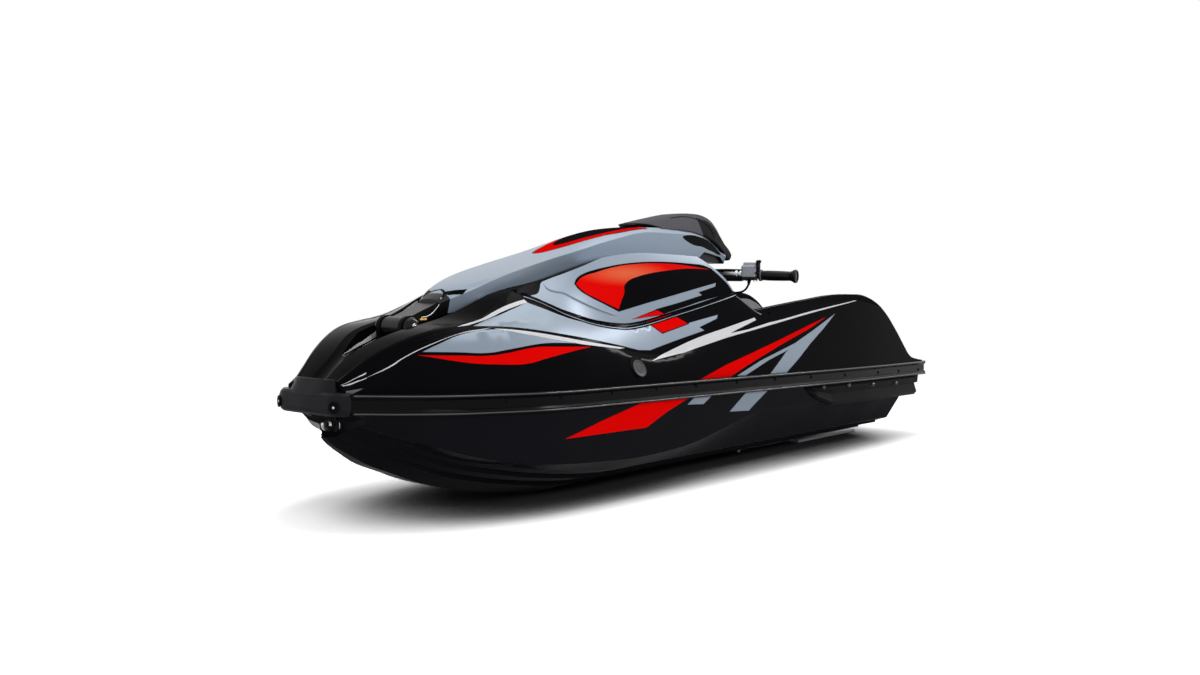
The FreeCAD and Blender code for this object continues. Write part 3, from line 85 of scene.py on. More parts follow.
class PaintSettings(bpy.types.PropertyGroup):
    black: FloatVectorProperty(name="Black", description="Gloss black of hull and deck", subtype="COLOR",
                               default=(0.004, 0.004, 0.005))
    silver: FloatVectorProperty(name="Silver", description="Blue silver of hood and pole", subtype="COLOR",
                                default=(0.31, 0.375, 0.46))
    red: FloatVectorProperty(name="Red", description="Red of the stripes", subtype="COLOR",
                             default=(1.0, 0.003, 0.002))
    orange: FloatVectorProperty(name="Orange", description="Lit middle of the side panel", subtype="COLOR",
                                default=(1.0, 0.17, 0.07))
    white: FloatVectorProperty(name="White", description="White of the stripes", subtype="COLOR",
                               default=(0.88, 0.88, 0.90))
    rubber: FloatVectorProperty(name="Rubber", description="Rails, bumper and trim", subtype="COLOR",
                                default=(0.008, 0.008, 0.009))
    foam: FloatVectorProperty(name="Foam", description="Tray and gunwale mats", subtype="COLOR",
                              default=(0.085, 0.083, 0.088))
    pad: FloatVectorProperty(name="Pad", description="Skin of the pad on the pole", subtype="COLOR",
                             default=(0.115, 0.113, 0.125))
    housing: FloatVectorProperty(name="Housing", description="Switch housing", subtype="COLOR",
                                 default=(0.44, 0.455, 0.51))
    steel: FloatVectorProperty(name="Steel", description="Eyes, bolts, pins and shafts", subtype="COLOR",
                               default=(0.62, 0.62, 0.63))


class TrimSettings(bpy.types.PropertyGroup):
    film: FloatProperty(name="Film", description="How far a stripe stands off its panel", unit="LENGTH",
                        default=0.0004)
    film_step: FloatProperty(name="Film step", description="Extra height of each film over the last",
                             unit="LENGTH", default=0.00025)


# Modelling helpers

EDGE_ANGLE = 35
ROUND_ANGLE = 60
PORT_START = 600


def deselect():
    if bpy.context.object and bpy.context.object.mode != "OBJECT":
        bpy.ops.object.mode_set(mode="OBJECT")
    bpy.ops.object.select_all(action="DESELECT")


def pick(*pieces):
    deselect()
    for piece in pieces:
        piece.select_set(True)
    bpy.context.view_layer.objects.active = pieces[0]


def edit(piece):
    """Opens a piece in edit mode with all of it selected."""
    pick(piece)
    bpy.ops.object.mode_set(mode="EDIT")
    bpy.ops.mesh.select_all(action="SELECT")


def place_in_scene(name, data):
    holder = bpy.data.objects.new(name, data)
    bpy.context.scene.collection.objects.link(holder)
    return holder


def settle(piece):
    """The piece's place goes into its mesh."""
    pick(piece)
    bpy.ops.object.transform_apply(location=True, rotation=True, scale=True)
    return piece


def join(name, *pieces):
    pick(*pieces)
    if len(pieces) > 1:
        bpy.ops.object.join()
    piece = bpy.context.object
    piece.name = name
    piece.data.name = name
    return piece


def modify(piece, kind, **settings):
    """Adds a modifier and applies it."""
    pick(piece)
    modifier = piece.modifiers.new(kind.title(), kind)
    for key, value in settings.items():
        setattr(modifier, key, value)
    bpy.ops.object.modifier_apply(modifier=modifier.name)
    return piece


def mirror_over(piece):
    """A second half of the mesh on the other side of the middle plane."""
    pick(piece)
    bpy.ops.object.duplicate()
    other = bpy.context.object
    other.data.transform(Matrix.Diagonal((1, -1, 1, 1)))
    other.data.flip_normals()
    return other


def both_sides(name, *pieces):
    """Joined pieces and their copy on the other side."""
    half = join(name, *pieces)
    return join(name, half, mirror_over(half))


def smooth(piece, angle=EDGE_ANGLE):
    pick(piece)
    bpy.ops.object.shade_smooth_by_angle(angle=math.radians(angle))
    return piece


def at(x, y, z):
    """A place given in millimetres."""
    return Vector((x, y, z)) * MM


def outwards(piece):
    """Leaves edit mode with doubles merged and every normal pointing out of the piece."""
    bpy.ops.mesh.select_all(action="SELECT")
    bpy.ops.mesh.remove_doubles(threshold=1e-6)
    bpy.ops.mesh.normals_make_consistent(inside=False)
    bpy.ops.object.mode_set(mode="OBJECT")
    return piece


def turned(name, profile, sides):
    """A solid of revolution about Z, through (radius, height) steps in millimetres from the bottom up."""
    deselect()
    radius, height = profile[0]
    bpy.ops.mesh.primitive_circle_add(vertices=sides, radius=radius * MM, fill_type="NGON",
                                      location=at(0, 0, height))
    piece = bpy.context.object
    piece.name = name
    edit(piece)
    for wide, top in profile[1:]:
        bpy.ops.mesh.extrude_region_move(TRANSFORM_OT_translate={"value": at(0, 0, top - height)})
        bpy.ops.transform.resize(value=(wide / radius, wide / radius, 1), center_override=at(0, 0, top))
        radius, height = wide, top
    return outwards(piece)


def block(name, place, size, bevel, top=(1, 1), turn=0.0):
    """A block with rounded edges whose top is drawn in by two shares. Sizes are in millimetres."""
    deselect()
    bpy.ops.mesh.primitive_cube_add(size=1, scale=[side * MM for side in size])
    piece = settle(bpy.context.object)
    piece.name = name
    for face in piece.data.polygons:
        face.select = face.normal.z > 0.5
    bpy.ops.object.mode_set(mode="EDIT")
    bpy.ops.transform.resize(value=(*top, 1), center_override=(0, 0, 0))
    bpy.ops.mesh.select_all(action="SELECT")
    bpy.ops.mesh.bevel(offset=bevel * MM, segments=3, affect="EDGES")
    outwards(piece)
    piece.matrix_world = Matrix.Translation(at(*place)) @ Matrix.Rotation(turn, 4, "Z")
    return smooth(settle(piece))


def tube(name, radius, facets, steps):
    """An empty curve that is drawn as a closed round tube."""
    curve = bpy.data.curves.new(name, "CURVE")
    curve.dimensions = "3D"
    curve.bevel_depth = radius
    curve.bevel_resolution = facets
    curve.resolution_u = steps
    curve.use_fill_caps = True
    return curve


def piping(name, points, radius, ends=1.0):
    """A round bead through points in millimetres, whose two ends are drawn in by a share."""
    curve = tube(name, radius * MM, 3, 8)
    spline = curve.splines.new("BEZIER")
    spline.bezier_points.add(len(points) - 1)
    for knot, point in zip(spline.bezier_points, points):
        knot.co = at(*point)
        knot.handle_left_type = knot.handle_right_type = "AUTO"
    spline.bezier_points[0].radius = spline.bezier_points[-1].radius = ends
    pick(place_in_scene(name, curve))
    bpy.ops.object.convert(target="MESH")
    bpy.ops.object.mode_set(mode="EDIT")
    return smooth(outwards(bpy.context.object), ROUND_ANGLE)


def aim(piece, place, way):
    """Stands a piece that was modelled along Z at a place, and turns it to a direction."""
    spin = Vector(way).to_track_quat("Z", "Y").to_matrix().to_4x4()
    piece.matrix_world = Matrix.Translation(at(*place)) @ spin
    return settle(piece)


def copies(name, model, spots, both=True):
    """One modelled piece copied to each place and direction, and mirrored to starboard."""
    smooth(model)
    made = []
    for place, way in spots:
        pick(model)
        bpy.ops.object.duplicate()
        made.append(aim(bpy.context.object, place, way))
    bpy.data.objects.remove(model)
    if both:
        made += [mirror_over(piece) for piece in made]
    return join(name, *made)


def cover(piece, material):
    """One material on every face."""
    piece.data.materials.clear()
    piece.data.materials.append(material)
    for face in piece.data.polygons:
        face.material_index = 0


def finish_piece(piece, look, body=CRAFT):
    """A new piece gets its finish and its body."""
    cover(piece, finish(look))
    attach(piece, body)
    return piece


def fit(name, profile, sides, spots, look, body=CRAFT, both=True):
    """One piece made of a turned profile copied to each place and direction."""
    return finish_piece(copies(name, turned(name, profile, sides), spots, both), look, body)


def fit_beads(name, lines, radius, look, body=CRAFT, ends=1.0):
    """One piece made of round beads along lines of points, and of their copies on the other side."""
    return finish_piece(both_sides(name, *[piping(name, line, radius, ends) for line in lines]), look, body)


def surface_tree(mesh):
    return BVHTree.FromPolygons([vertex.co for vertex in mesh.vertices],
                                [tuple(face.vertices) for face in mesh.polygons])


def laid_on(tree, points):
    """Points in millimetres moved to the nearest places on a surface."""
    return [tree.find_nearest(at(*point))[0] / MM for point in points]


# Livery films cut from the panels that carry them

UPRIGHT = (math.pi / 2, 0, 0)
FLAT = (0, 0, 0)
# Each view: half the depth of its cutter, the cutter's turn and place, and the way towards the viewer
VIEWS = {
    "side": (0.249, UPRIGHT, (0, 0.25, 0), (0, 0.85, 0.53)),
    "pod": (0.185, UPRIGHT, (0, 0.335, 0), (0, 0.85, 0.53)),
    "inner": (0.065, UPRIGHT, (0, -0.066, 0), (0, 0.55, 0.83)),
    "plan": (0.249, FLAT, (0, 0, 0.65), (0, 0, 1)),
    "bow": (0.249, FLAT, (0, 0, 0.35), (0, 0, 1)),
}
SKIN_MERGE = 1e-5
EDGE_ON = 0.02
PROBE_START = 0.002
FILM_BITE = 0.0003
SKINS = {}


def skin_of(node):
    """A merged copy of a panel, from which films are cut, and its surface for rays."""
    if node not in SKINS:
        skin = place_in_scene(node + "_skin", NODES[node].data.copy())
        edit(skin)
        bpy.ops.mesh.remove_doubles(threshold=SKIN_MERGE)
        bpy.ops.object.mode_set(mode="OBJECT")
        bpy.ops.mesh.customdata_custom_splitnormals_clear()
        SKINS[node] = (skin, surface_tree(skin.data))
    return SKINS[node]


def spot_on(node, start, way):
    """Where a ray from a place in millimetres meets a panel, and the direction out of it there."""
    place, out, _, _ = skin_of(node)[1].ray_cast(at(*start), Vector(way))
    if place is None:
        raise RuntimeError("nothing of " + node + " at " + str(start))
    return place / MM, out


def from_port(node, places):
    """Where rays from port meet a panel at each (x, z)."""
    return [spot_on(node, (x, PORT_START, z), (0, -1, 0)) for x, z in places]


def outline_cutter(outline, view):
    """A closed block with the outline's shape."""
    depth, turn, place, _ = VIEWS[view]
    curve = bpy.data.curves.new("outline", "CURVE")
    curve.dimensions = "2D"
    curve.fill_mode = "BOTH"
    curve.resolution_u = 5
    curve.extrude = depth
    spline = curve.splines.new("BEZIER")
    spline.bezier_points.add(len(outline) - 1)
    spline.use_cyclic_u = True
    for knot, point in zip(spline.bezier_points, outline):
        knot.co = (point[0] * MM, point[1] * MM, 0)
        knot.handle_left_type = knot.handle_right_type = "VECTOR" if isinstance(point, tuple) else "AUTO"
    cutter = place_in_scene("outline", curve)
    cutter.rotation_euler = turn
    cutter.location = place
    pick(cutter)
    bpy.ops.object.convert(target="MESH")
    cutter = settle(bpy.context.object)
    bpy.ops.object.mode_set(mode="EDIT")
    return outwards(cutter)


def marker(name):
    return bpy.data.materials.get(name) or bpy.data.materials.new(name)


def film(node, outline, view, layer, both):
    """A thin film that lies on a panel inside the outline, which is drawn in millimetres from the side or above."""
    skin, tree = skin_of(node)
    trim = bpy.context.scene.craft_trim
    lift = trim.film + layer * trim.film_step
    pick(skin)
    bpy.ops.object.duplicate()
    piece = bpy.context.object
    panel = marker("film_panel")
    cover(piece, panel)
    edit(piece)
    bpy.ops.transform.shrink_fatten(value=lift)
    bpy.ops.object.mode_set(mode="OBJECT")
    cutter = outline_cutter(outline, view)
    cover(cutter, marker("film_edge"))
    modify(piece, "BOOLEAN", operation="INTERSECT", object=cutter, solver="EXACT", material_mode="TRANSFER")
    bpy.data.objects.remove(cutter)
    look = Vector(VIEWS[view][3])
    panel_slots = [number for number, slot in enumerate(piece.data.materials) if slot == panel]
    mesh = bmesh.new()
    mesh.from_mesh(piece.data)
    hidden = [face for face in mesh.faces
              if face.material_index not in panel_slots or face.normal.dot(look) <= EDGE_ON
              or tree.ray_cast(face.calc_center_median() + face.normal * PROBE_START, look)[0] is not None]
    bmesh.ops.delete(mesh, geom=hidden, context="FACES")
    mesh.to_mesh(piece.data)
    mesh.free()
    if not piece.data.polygons:
        raise RuntimeError("the film on " + node + " has no faces: " + str(outline[0]))
    modify(piece, "SOLIDIFY", thickness=lift + FILM_BITE, offset=-1)
    return both_sides(piece.name, piece) if both else piece


def lay_films(node, rows, body=CRAFT, both=True):
    """One piece for each row: its name, outlines, finish, view and layer over the panel."""
    for name, outlines, look, view, layer in rows:
        piece = join(name, *[film(node, outline, view, layer, both) for outline in outlines])
        for face in piece.data.polygons:
            face.use_smooth = True
        modify(piece, "DATA_TRANSFER", object=NODES[node], use_loop_data=True,
               data_types_loops={"CUSTOM_NORMAL"}, loop_mapping="POLYINTERP_NEAREST")
        finish_piece(piece, look, body)


# Shader node groups and materials


class Shader:
    """Adds nodes to a tree, with their values or links by socket name."""

    def __init__(self, tree):
        self.tree = tree

    def feed(self, node, inputs):
        """Sets each socket to its value or links it to its source."""
        for key, value in inputs.items():
            if isinstance(value, bpy.types.NodeSocket):
                self.tree.links.new(value, node.inputs[key])
            else:
                node.inputs[key].default_value = value
        return node

    def add(self, kind, inputs=None, **settings):
        node = self.tree.nodes.new(kind)
        for key, value in settings.items():
            setattr(node, key, value)
        return self.feed(node, inputs or {})

    def maths(self, operation, *values, clamp=False):
        return self.add("ShaderNodeMath", dict(enumerate(values)), operation=operation, use_clamp=clamp).outputs[0]

    def mix(self, factor, first, second):
        return self.add("ShaderNodeMix", {0: factor, 6: first, 7: second}, data_type="RGBA").outputs[2]

    def ramp(self, value, inputs):
        """A value led softly from one range to another."""
        return self.add("ShaderNodeMapRange", {"Value": value, **inputs}, interpolation_type="SMOOTHSTEP").outputs[0]

    def noise(self, place, scale, detail, **more):
        inputs = {"Vector": place, "Scale": scale, "Detail": detail, **more}
        return self.add("ShaderNodeTexNoise", inputs).outputs["Fac"]

    def place(self):
        return self.add("ShaderNodeTexCoord").outputs["Object"]

    def place_parts(self):
        """X, Y and Z on the piece."""
        return self.add("ShaderNodeSeparateXYZ", {0: self.place()}).outputs

    def above_share(self, value, floor, gain):
        """How far a noise lies above a floor, from 0 to 1."""
        return self.maths("MULTIPLY", self.maths("SUBTRACT", value, floor, clamp=True), gain, clamp=True)


def group(name, inputs, outputs, kind="Float"):
    """A node group: its shader, its inputs by name and its output node."""
    tree = bpy.data.node_groups.new(name, "ShaderNodeTree")
    for label, value in inputs.items():
        given = "NodeSocketColor" if isinstance(value, tuple) else "NodeSocketFloat"
        tree.interface.new_socket(label, in_out="INPUT", socket_type=given).default_value = value
    for label in outputs:
        tree.interface.new_socket(label, in_out="OUTPUT", socket_type="NodeSocket" + kind)
    shader = Shader(tree)
    return shader, shader.add("NodeGroupInput").outputs, shader.add("NodeGroupOutput")


def grain_group():
    """Fine moulded grain: a height, and a mask that drifts slowly over the piece."""
    shader, given, result = group("moulded grain", {"Scale": 900.0, "Drift": 9.0}, ("Height", "Drift"))
    place = shader.place()
    shader.feed(result, {"Height": shader.noise(place, given["Scale"], 4.0),
                         "Drift": shader.noise(place, given["Drift"], 3.0)})
    return shader.tree


def tone_group():
    """A colour that drifts a little lighter and darker."""
    shader, given, result = group("drifting tone", {"Colour": (0.5, 0.5, 0.5, 1), "Amount": 0.1, "Mask": 0.5},
                                  ("Colour",), "Color")
    swing = shader.maths("MULTIPLY", shader.maths("SUBTRACT", given["Mask"], 0.5), 2.0)
    gain = shader.maths("ADD", shader.maths("MULTIPLY", swing, given["Amount"]), 1.0)
    scaled = shader.add("ShaderNodeVectorMath", {0: given["Colour"], "Scale": gain}, operation="SCALE")
    shader.feed(result, {"Colour": scaled.outputs[0]})
    return shader.tree


def scuff_group():
    """Thin scratches and rubbed spots as a mask."""
    shader, given, result = group("scuffs", {"Scale": 60.0, "Amount": 0.3}, ("Mask",))
    place = shader.place()
    stretched = shader.add("ShaderNodeMapping", {"Vector": place, "Rotation": (0.2, 0.5, 0.9),
                                                 "Scale": (0.15, 1.0, 1.0)}).outputs[0]
    sharp = shader.above_share(shader.noise(stretched, given["Scale"], 6.0, Roughness=0.7), 0.62, 8.0)
    where = shader.above_share(shader.noise(place, 4.0, 2.0), 0.45, 5.0)
    shader.feed(result, {"Mask": shader.maths("MULTIPLY", shader.maths("MULTIPLY", sharp, where),
                                              given["Amount"])})
    return shader.tree


def groove_group():
    """Two sets of thin grooves that cross each other, as on moulded foam mats."""
    shader, given, result = group("crossed grooves", {"Spacing": 0.02, "Width": 0.12}, ("Mask",))
    place = shader.place_parts()
    across = shader.maths("ADD", place[1], place[2])
    masks = []
    for operation in ("ADD", "SUBTRACT"):
        turn = shader.maths("FRACT", shader.maths("DIVIDE", shader.maths(operation, place[0], across),
                                                  given["Spacing"]))
        side = shader.maths("ABSOLUTE", shader.maths("SUBTRACT", turn, 0.5))
        edge = shader.maths("SUBTRACT", given["Width"], side)
        masks.append(shader.maths("DIVIDE", edge, given["Width"], clamp=True))
    shader.feed(result, {"Mask": shader.maths("MAXIMUM", *masks)})
    return shader.tree


def use_group(shader, name, **inputs):
    builders = {"moulded grain": grain_group, "drifting tone": tone_group, "scuffs": scuff_group,
                "crossed grooves": groove_group}
    tree = bpy.data.node_groups.get(name) or builders[name]()
    return shader.add("ShaderNodeGroup", inputs, node_tree=tree).outputs


FINISHES = {}
RUBBED = (0.25, 0.25, 0.26, 1)
RUBBED_ROUGHER = 0.3
# Painted shade in the grooves of the foam mats: its colour and how much of it is laid on
GROOVE_SHADE = (0.012, 0.012, 0.013, 1)
GROOVE_SHADE_SHARE = 0.55
GROOVE_DEPTH = 2.5
GRAIN_DEPTH = 0.0004


def new_finish(name):
    made = bpy.data.materials.new("finish_" + name)
    made.use_nodes = True
    FINISHES[name] = made
    return Shader(made.node_tree), made.node_tree.nodes["Principled BSDF"]


def make_finish(name, colour, roughness, metallic=0.0, coat=0.0, coat_roughness=0.03, coat_ior=1.5, level=0.5,
                grain=900.0, bump=0.05, tone=0.08, rough_swing=0.06, scuffs=0.0, field=None, field_colour=None,
                grooves=0.0):
    """A painted, moulded or metal finish with grain, a drifting tone, scuffs, a second colour that on the pole also
    paints shade, and grooves darkened with painted shade.
    """
    shader, surface = new_finish(name)
    moulded = use_group(shader, "moulded grain", Scale=grain)
    shade = use_group(shader, "drifting tone", Colour=(*colour, 1), Amount=tone, Mask=moulded["Drift"])["Colour"]
    rough = shader.maths("ADD", shader.maths("MULTIPLY", shader.maths("SUBTRACT", moulded["Drift"], 0.5),
                                             rough_swing * 2), roughness)
    if scuffs:
        rubbed = use_group(shader, "scuffs", Amount=scuffs)["Mask"]
        shade = shader.mix(rubbed, shade, RUBBED)
        rough = shader.maths("ADD", rough, shader.maths("MULTIPLY", rubbed, RUBBED_ROUGHER))
    if field:
        shade = shader.mix(field(shader), shade, (*field_colour, 1))
    height = moulded["Height"]
    if grooves:
        cut = use_group(shader, "crossed grooves", Spacing=grooves)["Mask"]
        # Painted shade: the grooves are darkened in colour as well as cut into the bump
        shade = shader.mix(shader.maths("MULTIPLY", cut, GROOVE_SHADE_SHARE), shade, GROOVE_SHADE)
        height = shader.maths("SUBTRACT", height, shader.maths("MULTIPLY", cut, GROOVE_DEPTH))
    relief = shader.add("ShaderNodeBump", {"Height": height, "Strength": bump, "Distance": GRAIN_DEPTH})
    shader.feed(surface, {"Metallic": metallic, "Specular IOR Level": level, "Coat Weight": coat,
                          "Coat Roughness": coat_roughness, "Coat IOR": coat_ior, "Base Color": shade,
                          "Roughness": rough, "Normal": relief.outputs[0]})


def finish(name):
    """A finish by its name, made when it is first used."""
    if name not in FINISHES:
        colour, roughness, more = looks()[name]
        make_finish(name, colour, roughness, **more)
    return FINISHES[name]


# Edges of the two-coloured fields and of the painted shade in the pole's recess, in metres

NOSE_START = 0.9035
RECESS_REAR = -0.15
RECESS_TOP = 0.712
RECESS_HALF = 0.0845
TONGUE_TOP = 0.56
TONGUE_HALF = 0.03
PAD_STRIP_REAR = -0.19
PAD_STRIP_SIDE = 0.066
PAD_TAIL_SLOPE = 0.8
PAD_TAIL_LINE = 0.418
HOUSING_SPLIT = 0.6205


def pole_black_and_recess_shade(shader):
    """Mask of the pole's black nose and tongue, and of the painted shade inside the recess for the steering post."""
    place = shader.place_parts()
    side = shader.maths("ABSOLUTE", place[1])
    nose = shader.maths("GREATER_THAN", place[0], NOSE_START)
    behind = shader.maths("MULTIPLY", shader.maths("LESS_THAN", place[0], RECESS_REAR),
                          shader.maths("LESS_THAN", place[2], RECESS_TOP))
    # Painted shade: the recess behind the pole is darkened as if lying in shade
    recess = shader.maths("MULTIPLY", behind, shader.maths("LESS_THAN", side, RECESS_HALF))
    tongue = shader.maths("MULTIPLY", shader.maths("LESS_THAN", side, TONGUE_HALF),
                          shader.maths("LESS_THAN", place[2], TONGUE_TOP))
    return shader.maths("MAXIMUM", shader.maths("MAXIMUM", nose, tongue), recess)


def pad_field(shader):
    """Mask of the smooth black strip along the rear edges of the pad."""
    place = shader.place_parts()
    behind = shader.maths("LESS_THAN", place[0], PAD_STRIP_REAR)
    outside = shader.maths("GREATER_THAN", shader.maths("ABSOLUTE", place[1]), PAD_STRIP_SIDE)
    slope = shader.maths("ADD", place[2], shader.maths("MULTIPLY", place[0], PAD_TAIL_SLOPE))
    tail = shader.maths("LESS_THAN", slope, PAD_TAIL_LINE)
    return shader.maths("MAXIMUM", shader.maths("MULTIPLY", behind, outside), tail)


def housing_field(shader):
    """Mask of the lower half of the switch housing."""
    return shader.maths("LESS_THAN", shader.place_parts()[2], HOUSING_SPLIT)


# Painted light: the pole's silver is the hood's paint made this much lighter, to match the light on the pole
POLE_LIGHTENING = 1.2


def looks():
    """Colour, roughness and other settings of each finish."""
    colours = bpy.context.scene.craft_paint
    silver = dict(metallic=0.2, coat=0.15, coat_roughness=0.3, coat_ior=1.4, level=0.25, grain=2600.0, bump=0.02,
                  tone=0.03, rough_swing=0.04)
    gloss = dict(grain=500.0, bump=0.01, tone=0.15, rough_swing=0.03)
    mould = dict(bump=0.14, rough_swing=0.08)
    mat = dict(level=0.2, grain=2400.0, bump=0.6, tone=0.16, rough_swing=0.08)
    metal = dict(metallic=1.0, grain=1600.0)
    return {
        "gelcoat_black": (colours.black, 0.09, dict(gloss, level=0.010)),
        # Painted sheen: the hull's black is the deck's gelcoat made a little lighter and bluer, standing in for the
        # floor reflected in it
        "hull_black": ((0.010, 0.010, 0.013), 0.12, dict(gloss, level=0.014)),
        "paint_black": (colours.black, 0.12, dict(level=0.008, bump=0.01, tone=0.1)),
        "dome_black": (colours.black, 0.08, dict(coat=0.15, level=0.12, bump=0.01, tone=0.1)),
        "satin_dark": ((0.010, 0.010, 0.012), 0.5, dict(level=0.0, tone=0.1)),
        "paint_silver": (colours.silver, 0.36, silver),
        # The pole's second colour: black nose and tongue, and painted shade in the recess for the steering post
        "paint_pole": ([part * POLE_LIGHTENING for part in colours.silver], 0.36,
                       dict(silver, field=pole_black_and_recess_shade, field_colour=colours.black)),
        "paint_red": (colours.red, 0.3, dict(level=0.0, bump=0.01, tone=0.03, rough_swing=0.03)),
        "paint_white": (colours.white, 0.3, dict(coat=0.05, coat_ior=1.3, level=0.08, bump=0.01, tone=0.02)),
        # Grey of painted highlights: lines along the step and gunwale edges, the bow triangle and the rings on the
        # grips' flanges
        "corner_grey": ((0.16, 0.16, 0.17), 0.4, dict(level=0.3, tone=0.05)),
        "ring_grey": ((0.05, 0.05, 0.055), 0.4, dict(level=0.3, grain=1800.0, bump=0.1, tone=0.1)),
        "rubber_black": (colours.rubber, 0.32, dict(mould, level=0.016, grain=1400.0, tone=0.12, scuffs=0.05)),
        "plastic_black": (colours.rubber, 0.3, dict(mould, level=0.022, grain=2200.0, tone=0.1, scuffs=0.04)),
        "bumper_rubber": ((0.018, 0.018, 0.021), 0.26, dict(mould, level=0.06, grain=1400.0, tone=0.12)),
        "grip_rubber": ((0.006, 0.006, 0.007), 0.2, dict(mould, level=0.15, grain=2600.0, bump=0.2, tone=0.1)),
        "rail_rubber": (colours.black, 0.16, dict(level=0.06, grain=1400.0, bump=0.03, tone=0.12,
                                                  rough_swing=0.05, scuffs=0.03)),
        "bead_rubber": (colours.black, 0.1, dict(level=1.0, grain=1400.0, bump=0.02, tone=0.1)),
        "foam_grey": (colours.foam, 0.86, dict(mat, grooves=0.026)),
        # Painted light: the gunwale mats are the foot mat's foam made much lighter, to make up for the shade they lie
        # in
        "side_foam_grey": ((0.45, 0.445, 0.475), 0.86, mat),
        "pad_grey": (colours.pad, 0.55, dict(level=0.02, grain=1800.0, bump=0.4, tone=0.12, rough_swing=0.1,
                                             field=pad_field, field_colour=colours.rubber)),
        "housing_grey": (colours.housing, 0.4, dict(level=0.35, grain=2600.0, bump=0.15, tone=0.05,
                                                    field=housing_field, field_colour=colours.rubber)),
        "steel": (colours.steel, 0.22, dict(metal, tone=0.06, rough_swing=0.08)),
        "bolt_steel": ((0.16, 0.16, 0.17), 0.4, dict(metal, tone=0.1)),
        "bar_metal": ((0.46, 0.44, 0.42), 0.26, dict(metal, grain=1800.0, bump=0.06, tone=0.05)),
        "cast_alloy": ((0.30, 0.31, 0.33), 0.48, dict(metallic=0.9, grain=700.0, bump=0.3, tone=0.12,
                                                      rough_swing=0.14)),
        "brass": ((0.72, 0.42, 0.12), 0.25, dict(metallic=1.0, bump=0.03, tone=0.06)),
        "engine_grey": ((0.2, 0.2, 0.21), 0.55, dict(metallic=0.5, bump=0.2, tone=0.1)),
    }


# Middle and spread of the painted highlight on the red side field
FLASH_HIGHLIGHT_PLACE = (0.37, 0, 0.633)
FLASH_HIGHLIGHT_SHARES = (4.6, 0.0, 24.0)
FLASH_GRAIN = 600.0
FLASH_ROUGHNESS = 0.24
FLASH_SWING = 0.08
FLASH_LEVEL = 0.006


def make_flash_with_highlight():
    """Red with a painted highlight: it warms to orange along the upper middle of the side field, where the panel is
    lit.
    """
    colours = bpy.context.scene.craft_paint
    shader, surface = new_finish("paint_flash")
    place = shader.add("ShaderNodeVectorMath", {0: shader.place(), 1: FLASH_HIGHLIGHT_PLACE}, operation="SUBTRACT")
    place = shader.add("ShaderNodeVectorMath", {0: place.outputs[0], 1: FLASH_HIGHLIGHT_SHARES}, operation="MULTIPLY")
    distance = shader.add("ShaderNodeVectorMath", {0: place.outputs[0]}, operation="LENGTH").outputs["Value"]
    painted_highlight = shader.ramp(distance, {"From Min": 1.0, "From Max": 0.0})
    drift = use_group(shader, "moulded grain", Scale=FLASH_GRAIN)["Drift"]
    rough = shader.maths("ADD", shader.maths("MULTIPLY", drift, FLASH_SWING), FLASH_ROUGHNESS)
    shader.feed(surface, {"Base Color": shader.mix(painted_highlight, (*colours.red, 1), (*colours.orange, 1)), "Roughness": rough,
                          "Specular IOR Level": FLASH_LEVEL})


NODE_FINISH = {
    "gelcoat_black": ("deck",),
    "hull_black": ("hull",),
    "paint_silver": ("engine_hood",),
    "paint_pole": ("handle_pole",),
    "bumper_rubber": ("bow_bumper",),
    "rail_rubber": ("rub_rail_port", "rub_rail_starboard"),
    "rubber_black": ("exhaust_outlet", "switch_cable", "throttle_cable"),
    "plastic_black": ("sponson_port", "sponson_starboard", "drain_plugs", "outlet_cap_port",
                      "outlet_cap_starboard", "pole_bracket", "pole_insert_port", "pole_insert_starboard",
                      "bar_clamp", "throttle_housing", "throttle_lever", "steering_post"),
    "foam_grey": ("foot_mat",),
    "side_foam_grey": ("gunwale_mat_port", "gunwale_mat_starboard"),
    "pad_grey": ("chin_pad",),
    "grip_rubber": ("grip_port", "grip_starboard"),
    "housing_grey": ("switch_housing",),
    "steel": ("bow_eye", "stern_eye", "pivot_pin", "impeller", "drive_shaft"),
    "bar_metal": ("handlebar",),
    "cast_alloy": ("pump_housing", "stator", "steering_nozzle", "shaft_bearing", "intake_grate", "ride_plate"),
    "engine_grey": ("engine_block",),
}


class CRAFT_OT_finishes(bpy.types.Operator):
    """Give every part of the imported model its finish"""

    bl_idname = "craft.finishes"
    bl_label = "Finishes"

    def execute(self, context):
        for look, names in NODE_FINISH.items():
            for name in names:
                piece = NODES[name]
                if not piece.material_slots:
                    piece.data.materials.append(finish(look))
                for slot in piece.material_slots:
                    slot.material = finish(look)
        return {"FINISHED"}


# Stage

SENSOR_WIDTH = 36.0
# Each lamp: its place and aim, its size, the setting of its power and the rays that don't see it
LAMPS = {
    "top panel": ((-0.1, 0.2, 3.2), (0, 0, 0.3), (3.6, 1.5), "top_light", ()),
    "port panel": ((0.6, 3.6, 1.6), (0, 0, 0.4), (3.0, 0.5), "side_light", ("visible_glossy",)),
    "bow panel": ((3.6, -0.9, 2.0), (0.6, 0, 0.4), (0.6, 1.6), "front_light", ("visible_glossy",)),
    "gloss strip": ((-3.8, 1.4, 3.4), (-3.8, 0.3, 0.4), (5.0, 0.3), "gloss_light", ("visible_diffuse",)),
}
FLOOR_SIDES = 96
FLOOR_DROP = 0.0005
FLOOR_BOUNCE = (0.9, 0.9, 0.91, 1)
FLOOR_SHADOW_DARK = 0.08
SHADOW_START = 0.12
SHADOW_END = 0.58
SHADOW_SAMPLES = 16
CLEAR_START = 0.45
WHITE = (1, 1, 1, 1)


def faced(holder, place, way):
    """Puts a camera or a lamp at a place and points it in a direction."""
    holder.location = place
    holder.rotation_euler = way.to_track_quat("-Z", "Y").to_euler()
    return holder


